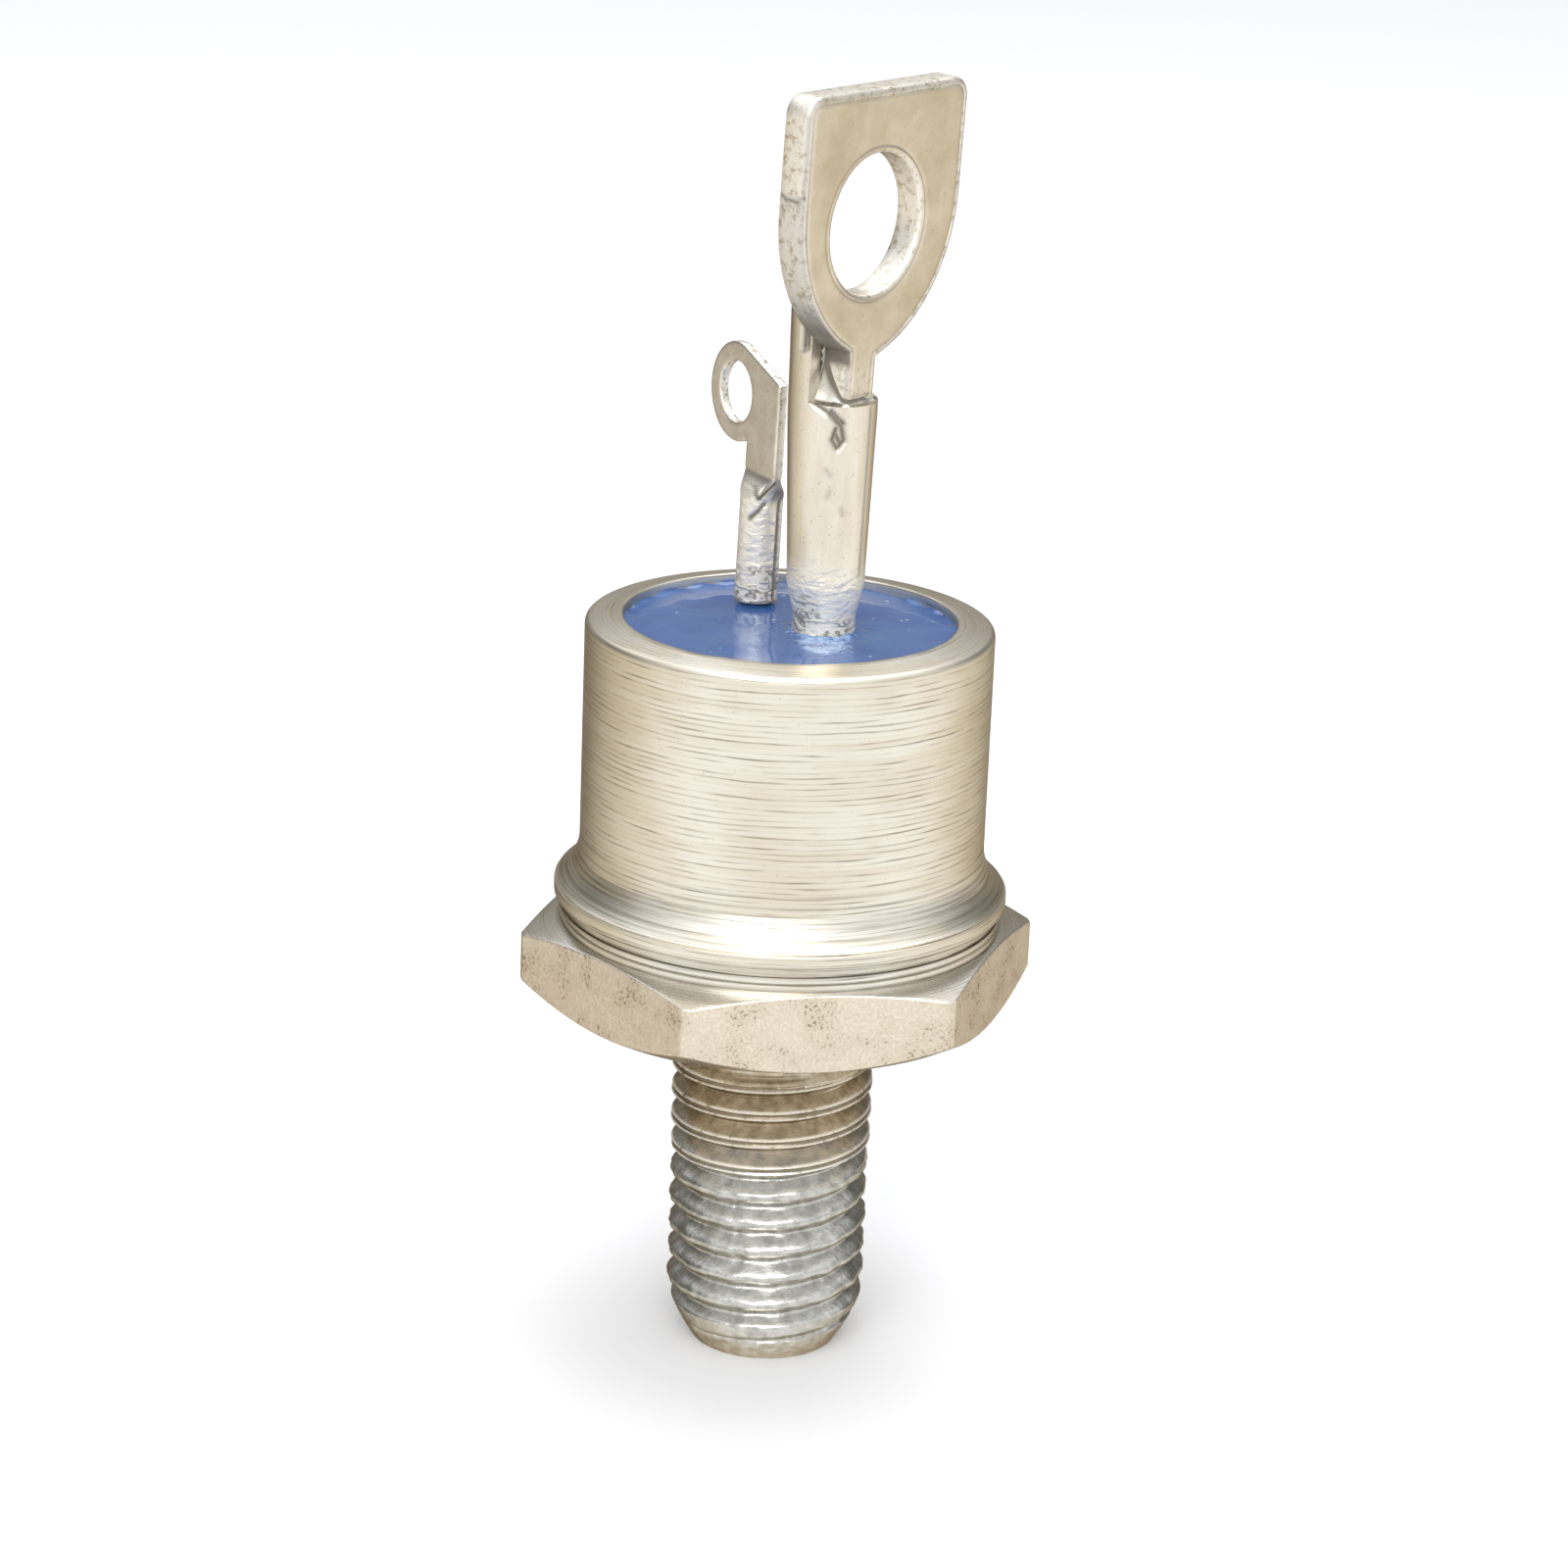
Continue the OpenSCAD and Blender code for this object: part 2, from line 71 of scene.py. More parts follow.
# %% [markdown]
# ## The camera
# The photograph was taken from the front left, a little above, with a long lens. The values come from
# fitting a camera to the hexagon, the rim, the flange and the stud in the photograph. A long lens shows in
# how little the hexagon shrinks towards its far corners.

# %% Camera
IMAGE_PX = 1600
FOCAL_PX = 4337.4
SENSOR_MM = 36
CAMERA_TURN = math.radians(-11.1)
CAMERA_PITCH = math.radians(-17.91)
CAMERA_ROLL = math.radians(2.281)
CAMERA_DISTANCE = 123.995
CAMERA_HEIGHT = 46.842
# Nearest and furthest distance that it sees, in metres
CAMERA_NEAR = 0.01
CAMERA_FAR = 10


def make_camera():
    """Camera at the photograph's angle, looking along +Y before it is turned round the part."""
    turn = Matrix.Rotation(CAMERA_TURN, 4, "Z")
    place = Matrix.Translation(Vector((0, -CAMERA_DISTANCE, CAMERA_HEIGHT)) * MM)
    aim = Matrix.Rotation(math.radians(90) + CAMERA_PITCH, 4, "X")
    roll = Matrix.Rotation(CAMERA_ROLL, 4, "Z")
    data = bpy.data.cameras.new("camera")
    data.sensor_width = SENSOR_MM
    data.lens = FOCAL_PX / IMAGE_PX * SENSOR_MM
    data.clip_start = CAMERA_NEAR
    data.clip_end = CAMERA_FAR
    camera = bpy.data.objects.new("camera", data)
    camera.matrix_world = turn @ place @ aim @ roll
    bpy.context.scene.collection.objects.link(camera)
    bpy.context.scene.camera = camera
    return camera


camera = make_camera()
print("camera at", [round(v / MM, 1) for v in camera.location], "lens", round(camera.data.lens, 1))

# %% [markdown]
# ## How a node is added
# Each finish is a small tree of shader nodes. One function adds a node, sets its properties, and sets or
# links its inputs, so that each finish reads as a list of what it is made of. It gives back the node's
# output, because that is what the next node takes in. Inputs are given by name, or as a list in the order
# in which the node shows them.

# %% Shader helpers
def feed(node, inputs):
    """Sets the inputs of a node. An input that is given an output is linked to it."""
    live = [socket for socket in node.inputs if socket.enabled]
    for key, value in inputs.items() if isinstance(inputs, dict) else enumerate(inputs):
        socket = node.inputs[key] if isinstance(key, str) else live[key]
        if isinstance(value, bpy.types.NodeSocket):
            node.id_data.links.new(value, socket)
        else:
            socket.default_value = value


def add(tree, kind, inputs=(), ramp=(), out=None, **settings):
    """Adds one shader node, and gives back its output: the named one, or else the first that is in use."""
    node = tree.nodes.new("ShaderNode" + kind)
    for name, value in settings.items():
        setattr(node, name, value)
    feed(node, inputs)
    for stop, (place, colour) in enumerate(ramp):
        if stop >= len(node.color_ramp.elements):
            node.color_ramp.elements.new(place)
        node.color_ramp.elements[stop].position = place
        node.color_ramp.elements[stop].color = colour
    return node.outputs[out] if out else next(socket for socket in node.outputs if socket.enabled)


def grey(value):
    """Neutral colour for a ramp that carries a number."""
    return (value, value, value, 1.0)


def start_finish(name):
    """New material with a Principled shader, and its object coordinates in millimetres."""
    material = bpy.data.materials.new(name)
    material.use_nodes = True
    tree = material.node_tree
    place = add(tree, "TexCoord", out="Object")
    in_mm = add(tree, "VectorMath", [place, 1 / MM], operation="SCALE", name="place_in_mm")
    return material, tree, tree.nodes["Principled BSDF"], in_mm


# %% [markdown]
# ## Tin plating over turned metal
# Base, ring and case are plated with tin and were turned on a lathe first. Tin is a warm, pale metal, and
# the thin plating follows each tool line under it. The lines run round the axis, so their pattern is read
# along the profile: the height less the radius goes on steadily from a wall over a sweep to a flat face.
# The tool moves on by the same feed each turn, so the lines are ruled by that feed, and a noise only makes
# them sway a little. Each line holds its own broken run of dirt, which another noise gives it by its number.
# A real feed is nearer a tenth of a millimetre, and it is drawn a little coarser here, so that it shows.

# %% Turned tin
# Lengths in mm. The width of a line is a share of the feed
FEED = 0.17
LINE_WIDTH = 0.28
LINE_BREAK = 2.2
# Step in the noise from one line to the next, so small that neighbours are a little alike
LINE_STRIDE = 0.137
SWAY = 0.5
SWAY_LENGTH = 3.0
TOOL_DEPTH = 0.003
STREAK = 0.28
STREAK_BREAK = 12.0
CLOUD = 2.5
PIT = 0.09
# Dark colour for painted shade where two pieces meet and in slits and seams, for a painted dark reflection on
# the tube, and for darker creases and dirt in grooves
CREVICE_SHADE_AND_DIRT = "#5d5548"
# Tin seen at a low angle reflects a little browner
GRAZING_TINT = "#d8cfbf"


def along_profile(tree, at):
    """Way along a turned profile in millimetres, as its height less its radius."""
    flat = add(tree, "VectorMath", [at, (1, 1, 0)], operation="MULTIPLY")
    radius = add(tree, "VectorMath", [flat], operation="LENGTH")
    axes = add(tree, "SeparateXYZ", [at]).node.outputs
    return axes, add(tree, "Math", [axes["Z"], radius], operation="SUBTRACT")


def round_the_axis(tree, axes, run, step, length):
    """Coordinates that change fast along the profile, by a step, and slowly round the axis, by a length."""
    joined = add(tree, "CombineXYZ", [axes["X"], axes["Y"], run])
    return add(tree, "VectorMath", [joined, (1 / length, 1 / length, 1 / step)], operation="MULTIPLY")


def turned_tin(name, bright, shade, dirt, roughness, line_share, cut_share):
    """Tin over a turned surface. The shares say how strongly dirt and relief of the lines show."""
    material, tree, shader, at = start_finish(name)
    axes, run = along_profile(tree, at)
    # Lines ruled by the feed, which sway a little
    sway = add(tree, "TexNoise", {"Vector": round_the_axis(tree, axes, run, SWAY, SWAY_LENGTH),
                                  "Scale": 1.0, "Detail": 2.0})
    feeds = add(tree, "Math", [run, 1 / FEED, sway], operation="MULTIPLY_ADD")
    number = add(tree, "Math", [feeds], operation="FLOOR")
    part = add(tree, "Math", [feeds], operation="FRACT")
    off_middle = add(tree, "Math", [part, 0.5], operation="SUBTRACT")
    distance = add(tree, "Math", [off_middle], operation="ABSOLUTE")
    groove = add(tree, "MapRange", [distance, LINE_WIDTH * 0.2, LINE_WIDTH * 0.7, 1.0, 0.0])
    # Each line is dirty only in places of its own
    places = add(tree, "TexNoise", {"Vector": round_the_axis(tree, axes, number, LINE_STRIDE, LINE_BREAK),
                                    "Scale": 1.0, "Detail": 2.5, "Roughness": 0.6})
    strength = add(tree, "MapRange", [places, 0.44, 0.68, 0.08, line_share])
    dirty = add(tree, "Math", [groove, strength], operation="MULTIPLY")
    # Wider streaks and slow clouds of tone under the lines
    streaks = add(tree, "TexNoise", {"Vector": round_the_axis(tree, axes, run, STREAK, STREAK_BREAK),
                                     "Scale": 1.0, "Detail": 2.0, "Roughness": 0.6})
    clouds = add(tree, "TexNoise", {"Vector": at, "Scale": 1 / CLOUD, "Detail": 3.0})
    mixed = add(tree, "Math", [streaks, clouds], operation="ADD")
    tone = add(tree, "MapRange", [mixed, 0.85, 1.12])
    skin_tone = add(tree, "Mix", [tone, srgb(shade), srgb(bright)], data_type="RGBA")
    # Small dark specks
    specks = add(tree, "TexNoise", {"Vector": at, "Scale": 1 / PIT, "Detail": 2.0, "Roughness": 0.6})
    speck = add(tree, "ValToRGB", [specks], ramp=[(0.25, grey(0.5)), (0.31, grey(0.0))])
    soiled = add(tree, "Math", [dirty, speck], operation="MAXIMUM")
    colour = add(tree, "Mix", [soiled, skin_tone, srgb(dirt)], data_type="RGBA")
    # Painted shade where two pieces meet and in the collar's groove, and dirt along the deepest lines
    crevice = add(tree, "Attribute", out="Fac", attribute_name="crevice")
    colour = add(tree, "Mix", [crevice, colour, srgb(CREVICE_SHADE_AND_DIRT)], data_type="RGBA")
    gloss = add(tree, "MapRange", [soiled, 0.0, 1.0, roughness, roughness + 0.15])
    waved = add(tree, "Bump", {"Height": streaks, "Distance": TOOL_DEPTH * MM, "Strength": 1.0})
    cut = add(tree, "Bump", {"Height": groove, "Distance": TOOL_DEPTH * MM, "Strength": cut_share,
                             "Normal": waved}, invert=True)
    feed(shader, {"Base Color": colour, "Roughness": gloss, "Normal": cut, "Metallic": 1.0,
                  "Specular Tint": srgb(GRAZING_TINT)})
    return material


tinned_case = turned_tin("tinned_case", "#faf7ee", "#f0eadb", "#8f836e", 0.33, 0.8, 0.7)
tinned_steel = turned_tin("tinned_steel", "#f4f0e6", "#e4dccd", "#776c5e", 0.28, 0.9, 0.7)
tinned_copper = turned_tin("tinned_copper", "#fbf9f3", "#f1ece1", "#85796a", 0.27, 0.7, 0.3)
print("turned tin ready, one tool line each", FEED, "mm")

# %% [markdown]
# The hexagon's flats were never turned. They keep the skin of the drawn bar under the tin: duller, a little
# browner, and full of fine pits. The stud is darker and brown at its top, as painted shade and reflection
# under the hexagon on a browner tin, and paler below, where the tin lies thick and lumpy in the thread.
# Attributes of the mesh say where flat, stud and crest are, and the finish of the base mixes its looks by
# them. The crests' lips carry a painted highlight: near white, and less metallic than the rest, so that they
# stay bright from every side. It is strongest where a nut has rubbed them, and painted shade darkens the dip
# between the lips.

# %% Flats and thread on the base's finish
# Sizes in mm of the pits and patches on the flats, of the stains over them and of the lumps on the stud
GRAIN = 0.10
PATCH = 1.1
STAIN_SIZE = 1.7
LUMP = 0.35
GRAIN_DEPTH = 0.006
LUMP_DEPTH = 0.04
FLAT_ROUGHNESS = 0.5
LIP_METAL = 0.5
# Heights between which brown turns to silver, and silver to brown again at the end
SILVER_FROM = -3.4
SILVER_TO = -5.4
END_BROWN_FROM = -10.5
END_BROWN_TO = -11.3


def add_flats_and_thread(material):
    """Mixes the dull flats and the two tones of the stud into the base's finish."""
    tree = material.node_tree
    shader = tree.nodes["Principled BSDF"]
    at = tree.nodes["place_in_mm"].outputs[0]
    turned_colour, turned_gloss, turned_normal = (
        shader.inputs[name].links[0].from_socket for name in ("Base Color", "Roughness", "Normal"))
    flat, stud, crest = (add(tree, "Attribute", out="Fac", attribute_name=name)
                         for name in ("flat", "stud", "crest"))
    # Drawn skin: fine pits between small pale and brownish grains
    grain = add(tree, "TexNoise", {"Vector": at, "Scale": 1 / GRAIN, "Detail": 3.0, "Roughness": 0.6})
    patch = add(tree, "TexNoise", {"Vector": at, "Scale": 1 / PATCH, "Detail": 3.0, "Roughness": 0.6})
    pitted = add(tree, "MapRange", [patch, 0.42, 0.64, 0.09, -0.09])
    pits = add(tree, "Math", [grain, pitted], operation="ADD")
    skin_tone = add(tree, "ValToRGB", [pits], ramp=[(0.30, srgb("#9c8d78")), (0.38, srgb("#e3d8c6")),
                                                    (0.58, srgb("#efe6d7")), (0.72, srgb("#fbf4e6"))])
    stain = add(tree, "TexNoise", {"Vector": at, "Scale": 1 / STAIN_SIZE, "Detail": 4.0, "Roughness": 0.7})
    stained = add(tree, "MapRange", [stain, 0.45, 0.68, 0.0, 0.5])
    skin_tone = add(tree, "Mix", [stained, skin_tone, srgb("#f2e4dc")], data_type="RGBA")
    grain_bump = add(tree, "Bump", {"Height": pits, "Distance": GRAIN_DEPTH * MM, "Strength": 1.0})
    # Stud: lumpy tin, brown near the hexagon, partly as painted shade under it
    axes = add(tree, "SeparateXYZ", [at]).node.outputs
    lumps = add(tree, "TexNoise", {"Vector": at, "Scale": 1 / LUMP, "Detail": 4.0, "Roughness": 0.65})
    sway = add(tree, "MapRange", [lumps, 0.0, 1.0, -1.2, 1.2])
    height = add(tree, "Math", [axes["Z"], sway], operation="ADD")
    depth = add(tree, "MapRange", [height, SILVER_FROM, SILVER_TO], interpolation_type="SMOOTHSTEP")
    shaded_brown = add(tree, "ValToRGB", [lumps], ramp=[(0.35, srgb("#b0a491")), (0.6, srgb("#d8cebd"))])
    silver = add(tree, "ValToRGB", [lumps], ramp=[(0.32, srgb("#b8b9b7")), (0.62, srgb("#e2e3e2"))])
    stud_tone = add(tree, "Mix", [depth, shaded_brown, silver], data_type="RGBA")
    at_end = add(tree, "MapRange", [height, END_BROWN_FROM, END_BROWN_TO, 0.0, 0.6])
    stud_tone = add(tree, "Mix", [at_end, stud_tone, srgb("#b9ac98")], data_type="RGBA")
    # Rolled crests: two lips with a painted highlight, strongest where a nut has rubbed them, and painted
    # shade in the dip between them
    lip_highlight = add(tree, "ValToRGB", [crest],
              ramp=[(0.13, grey(0.0)), (0.19, grey(1.0)), (0.30, grey(1.0)), (0.38, grey(0.0))])
    rubbed = add(tree, "MapRange", [lumps, 0.34, 0.44, 0.25])
    bright = add(tree, "Math", [lip_highlight, rubbed], operation="MULTIPLY")
    dip_shade = add(tree, "MapRange", [crest, 0.15, 0.08, 0.0, 0.8])
    stud_tone = add(tree, "Mix", [dip_shade, stud_tone, srgb("#82755f")], data_type="RGBA")
    stud_tone = add(tree, "Mix", [bright, stud_tone, srgb("#fffaf0")], data_type="RGBA")
    smooth = add(tree, "MapRange", [bright, 0.0, 1.0, 0.6, 0.1])
    lump_bump = add(tree, "Bump", {"Height": lumps, "Distance": LUMP_DEPTH * MM, "Strength": smooth})
    # The lips of the painted highlight are less metallic, so that they stay bright from every side
    metal = add(tree, "MapRange", [bright, 0.0, 1.0, 1.0, LIP_METAL])
    # Mix the three by where they are
    colour = add(tree, "Mix", [stud, turned_colour, stud_tone], data_type="RGBA")
    colour = add(tree, "Mix", [flat, colour, skin_tone], data_type="RGBA")
    gloss = add(tree, "Mix", [flat, turned_gloss, FLAT_ROUGHNESS], data_type="FLOAT")
    normal = add(tree, "Mix", [stud, turned_normal, lump_bump], data_type="VECTOR")
    normal = add(tree, "Mix", [flat, normal, grain_bump], data_type="VECTOR")
    feed(shader, {"Base Color": colour, "Roughness": gloss, "Normal": normal, "Metallic": metal})


add_flats_and_thread(tinned_copper)
print("the base's finish has", len(tinned_copper.node_tree.nodes), "nodes")

# %% [markdown]
# ## Tin over sheet and tube
# Tags are stamped from rolled sheet and tubes are drawn, so neither has lines round the axis. Sheet under tin
# looks satin and softly mottled, and its sheared edges come out brighter than its faces, because the tin
# flows off them thinly over fresh metal. A drawn tube is the smoothest piece of all. Where the glass was
# melted against a terminal, a pale, crinkled scale covers the tin. Scale and dirt aren't metal, and neither
# is the painted shade in slits and seams, so the finish is less metallic there. The real crinkles are finer,
# and they are drawn coarse enough to show.

# %% Stamped and drawn tin
# Sizes in mm of the torn patches on a sheared edge, and of the crinkles at the glass
TORN = 0.22
CRINKLE = 0.5
MOTTLE_DEPTH = 0.012
CRINKLE_DEPTH = 0.2
EDGE_ROUGHNESS = 0.45
SCALE_COLOUR = "#f8f2e6"
SCALE_COVER = 0.65


def satin_tin(name, bright, shade, dirt, roughness, mottle, stretch, edge_tone):
    """Tin over rolled or drawn metal, with mottling of a size in millimetres and paler sheared edges."""
    material, tree, shader, at = start_finish(name)
    stretched = add(tree, "VectorMath", [at, stretch], operation="MULTIPLY")
    cloud = add(tree, "TexNoise", {"Vector": stretched, "Scale": 1 / mottle, "Detail": 5.0,
                                   "Roughness": 0.62})
    tone = add(tree, "ValToRGB", [cloud], ramp=[(0.36, srgb(shade)), (0.64, srgb(bright))])
    specks = add(tree, "TexNoise", {"Vector": at, "Scale": 1 / PIT, "Detail": 2.0})
    clean = add(tree, "ValToRGB", [specks], ramp=[(0.25, grey(0.0)), (0.33, grey(1.0))])
    face = add(tree, "Mix", [clean, srgb(dirt), tone], data_type="RGBA")
    # Sheared edges, torn in places
    edge, crease_mark, crinkled = (add(tree, "Attribute", out="Fac", attribute_name=mark_name)
                                   for mark_name in ("edge", "crease", "crinkle"))
    torn = add(tree, "TexNoise", {"Vector": at, "Scale": 1 / TORN, "Detail": 3.0, "Roughness": 0.7})
    torn_tone = add(tree, "ValToRGB", [torn], ramp=[(0.32, srgb(dirt)), (0.5, srgb(edge_tone))])
    colour = add(tree, "Mix", [edge, face, torn_tone], data_type="RGBA")
    gloss = add(tree, "MapRange", [cloud, 0.3, 0.7, roughness + 0.07, roughness - 0.07])
    rough = add(tree, "Mix", [edge, gloss, EDGE_ROUGHNESS], data_type="FLOAT")
    # Folds of the crinkled scale, dark in a few places close to the glass
    lying = add(tree, "VectorMath", [at, (1, 1, 2)], operation="MULTIPLY")
    folds = add(tree, "TexNoise", {"Vector": lying, "Scale": 1 / CRINKLE, "Detail": 2.0, "Distortion": 0.8})
    off_fold = add(tree, "Math", [folds, 0.5], operation="SUBTRACT")
    far = add(tree, "Math", [off_fold], operation="ABSOLUTE")
    fold = add(tree, "MapRange", [far, 0.015, 0.07, 1.0, 0.0])
    near_glass = add(tree, "MapRange", [crinkled, 0.92, 1.0])
    places = add(tree, "TexNoise", {"Vector": at, "Scale": 1 / (2 * CRINKLE), "Detail": 1.0})
    sparse = add(tree, "MapRange", [places, 0.48, 0.56, 0.0, 0.75])
    low_fold = add(tree, "Math", [fold, near_glass], operation="MULTIPLY")
    dark_fold = add(tree, "Math", [low_fold, sparse], operation="MULTIPLY")
    # The crease mark holds dirt, painted shade and a painted dark reflection, as each piece stores it
    soiled = add(tree, "Math", [crease_mark, dark_fold], operation="MAXIMUM")
    colour = add(tree, "Mix", [crinkled, colour, srgb(SCALE_COLOUR)], data_type="RGBA")
    colour = add(tree, "Mix", [soiled, colour, srgb(CREVICE_SHADE_AND_DIRT)], data_type="RGBA")
    scale = add(tree, "Math", [crinkled, SCALE_COVER], operation="MULTIPLY")
    cover = add(tree, "Math", [scale, soiled], operation="MAXIMUM")
    metal = add(tree, "MapRange", [cover, 0.0, 1.0, 1.0, 0.0])
    bump = add(tree, "Bump", {"Height": cloud, "Distance": MOTTLE_DEPTH * mottle * MM, "Strength": 1.0})
    lifted = add(tree, "Math", [folds, crinkled], operation="MULTIPLY")
    bump = add(tree, "Bump", {"Height": lifted, "Distance": CRINKLE_DEPTH * CRINKLE * MM, "Strength": 1.0,
                              "Normal": bump})
    feed(shader, {"Base Color": colour, "Roughness": rough, "Normal": bump, "Metallic": metal,
                  "Specular Tint": srgb(GRAZING_TINT)})
    return material


tinned_tube = satin_tin("tinned_tube", "#faf6ed", "#f0e9da", "#b3a68e", 0.3, 0.7, (1.6, 1.6, 0.25),
                        "#f8f5ee")
tinned_tag = satin_tin("tinned_tag", "#efe7d7", "#ddd1bb", "#c6b9a2", 0.4, 1.6, (1, 1, 1), "#fffcf5")
tinned_gate = satin_tin("tinned_gate", "#fbf9f6", "#eae5db", "#a59c8b", 0.36, 0.5, (1, 1, 1), "#fdfbf6")
# Soft solder froze over tin in slow waves, with the same bright skin
solder = satin_tin("solder", "#f8f6f0", "#dfdcd3", "#a59c8b", 0.24, 0.5, (1, 1, 1), "#f8f6f0")
print("satin tin ready")

# %% [markdown]
# ## Blue sealing glass
# The header's glass is a blue borosilicate that was melted in place. It is so dense that the eye reads it as
# an opaque, glossy body, with small bubbles frozen at its skin. So it isn't made transparent: a deep blue
# under a clear gloss, with the index of such a glass, looks the same and renders fast. In front of the large
# tube the glass is painted paler, as a painted reflection of the tube, and it is crinkled there. That patch
# is longer to the front than it is wide.

# %% Glass
# Sizes in mm
GLASS_INDEX = 1.5
GLASS_ROUGHNESS = 0.12
SWIRL = 2.0
BUBBLE = 0.45
SWARM = 1.3
BUBBLE_DEPTH = 0.01
GLASS_FOLD = 0.4
GLASS_FOLD_DEPTH = 0.12
# Where the two terminals pass the glass, and their radii there
FOOT_R = 0.95
PIN_R = 0.35
CATHODE_AT = (1.03 * math.cos(math.radians(-25)), 1.03 * math.sin(math.radians(-25)))
GATE_AT = (2.83 * math.cos(math.radians(102)), 2.83 * math.sin(math.radians(102)))
# Where the painted reflection of the large tube lies on the glass, and its radius
TUBE_REFLECTION_AT = (CATHODE_AT[0] - 0.25, CATHODE_AT[1] - 1.2)
TUBE_REFLECTION_R = 1.5
# Its width as a share of its length
TUBE_REFLECTION_SHARE = 0.6


def glass_finish():
    """Dense blue glass with fine bubbles and a gentle swirl of tone."""
    material, tree, shader, at = start_finish("blue_glass")
    swirl = add(tree, "TexNoise", {"Vector": at, "Scale": 1 / SWIRL, "Detail": 3.0, "Distortion": 0.6})
    tone = add(tree, "ValToRGB", [swirl], ramp=[(0.3, srgb("#365da2")), (0.7, srgb("#4c72ad"))])
    # Bubbles stand in swarms, and each shows as a small bright point
    cells = add(tree, "TexVoronoi", {"Vector": at, "Scale": 1 / BUBBLE, "Randomness": 1.0})
    swarm = add(tree, "TexNoise", {"Vector": at, "Scale": 1 / SWARM, "Detail": 2.0})
    size = add(tree, "MapRange", [swarm, 0.42, 0.68, 0.0, 0.17])
    inside = add(tree, "Math", [size, cells], operation="SUBTRACT")
    bubble = add(tree, "MapRange", [inside, -0.01, 0.04])
    # The pale patch: a painted reflection of the large tube, with its folds
    middle = (TUBE_REFLECTION_AT[0], TUBE_REFLECTION_AT[1] * TUBE_REFLECTION_SHARE, 0)
    flat = add(tree, "VectorMath", [at, (1, TUBE_REFLECTION_SHARE, 0)], operation="MULTIPLY")
    to_middle = add(tree, "VectorMath", [flat, middle], operation="DISTANCE")
    near = add(tree, "MapRange", [to_middle, TUBE_REFLECTION_R, 0.4 * TUBE_REFLECTION_R])
    folds = add(tree, "TexNoise", {"Vector": at, "Scale": 1 / GLASS_FOLD, "Detail": 3.0, "Distortion": 1.0})
    streaked = add(tree, "Math", [near, folds], operation="MULTIPLY")
    tube_reflection = add(tree, "MapRange", [streaked, 0.36, 0.58, 0.0, 0.9])
    colour = add(tree, "Mix", [tube_reflection, tone, srgb("#a3c4ee")], data_type="RGBA")
    colour = add(tree, "Mix", [bubble, colour, srgb("#c3d3ee")], data_type="RGBA")
    fold_bump = add(tree, "Bump", {"Height": streaked, "Distance": GLASS_FOLD_DEPTH * MM, "Strength": 1.0})
    skin_bump = add(tree, "Bump", {"Height": bubble, "Distance": BUBBLE_DEPTH * MM, "Strength": 0.6,
                                   "Normal": fold_bump})
    feed(shader, {"Base Color": colour, "Normal": skin_bump, "IOR": GLASS_INDEX,
                  "Roughness": GLASS_ROUGHNESS, "Coat Weight": 0.7, "Coat Roughness": 0.05})
    return material


blue_glass = glass_finish()
print("glass ready, bubbles about", BUBBLE, "mm apart")

# %% [markdown]
# ## The metals and plastics inside
# Nothing of the inside shows while the case is closed. Each piece still gets the finish of its own
# material, so that a section or an exploded view of the part reads as the real thing.

# %% Inner finishes
def plain_finish(name, light, dark, roughness, metallic, grain_mm, grain_depth):
    """A finish with a fine grain of two tones, for metals, ceramics and plastics alike."""
    material, tree, shader, at = start_finish(name)
    grain = add(tree, "TexNoise", {"Vector": at, "Scale": 1 / grain_mm, "Detail": 4.0, "Roughness": 0.6})
    tone = add(tree, "ValToRGB", [grain], ramp=[(0.35, srgb(dark)), (0.65, srgb(light))])
    bump = add(tree, "Bump", {"Height": grain, "Distance": grain_depth * MM, "Strength": 1.0})
    gloss = add(tree, "MapRange", [grain, 0.0, 1.0, roughness + 0.08, roughness - 0.08])
    feed(shader, {"Base Color": tone, "Normal": bump, "Roughness": gloss, "Metallic": metallic})
    return material


finishes = {
    "tinned_copper": tinned_copper,
    "tinned_steel": tinned_steel,
    "tinned_case": tinned_case,
    "tinned_tube": tinned_tube,
    "tinned_tag": tinned_tag,
    "tinned_gate": tinned_gate,
    "blue_glass": blue_glass,
    "solder": solder,
    # Drawn nickel-iron wire: a plain, slightly yellow grey
    "nickel_iron": plain_finish("nickel_iron", "#cfcabf", "#b5b0a5", 0.34, 1.0, 0.15, 0.002),
    # Ground molybdenum: a cool, darker grey with a fine grain
    "molybdenum": plain_finish("molybdenum", "#9ea1a4", "#85888c", 0.42, 1.0, 0.08, 0.003),
    # Lapped silicon: dark and blue-grey, with a mirror-like but not metallic skin
    "silicon": plain_finish("silicon", "#4d5461", "#3f4551", 0.2, 0.6, 0.3, 0.001),
    # Cured silicone: a milky, soft bead
    "silicone": plain_finish("silicone", "#efece4", "#e2ded4", 0.5, 0.0, 0.3, 0.003),
    # Bare copper, dulled a little by the weld's heat
    "copper": plain_finish("copper", "#d59a76", "#bb7d58", 0.32, 1.0, 0.2, 0.002),
    # White fluoropolymer sleeve: waxy and even
    "fluoropolymer": plain_finish("fluoropolymer", "#f5f5f1", "#eaeae5", 0.4, 0.0, 0.4, 0.001),
}
print("finishes:", len(finishes))

# %% [markdown]
# ## From profiles to meshes
# Almost everything here was turned, so most meshes are a grid: rows of points along a profile and columns
# round the axis. `skin` joins such rows, and `rounded` breaks the corners of a profile, because no real edge
# is sharp. `mesh_from` welds the parts of a mesh and turns its faces outwards. `settle` gives a piece its
# finish, hangs it on the root body and hides the solid that it stands for.

# %% Mesh helpers
WELD = 1e-4
SHARP = math.radians(38)
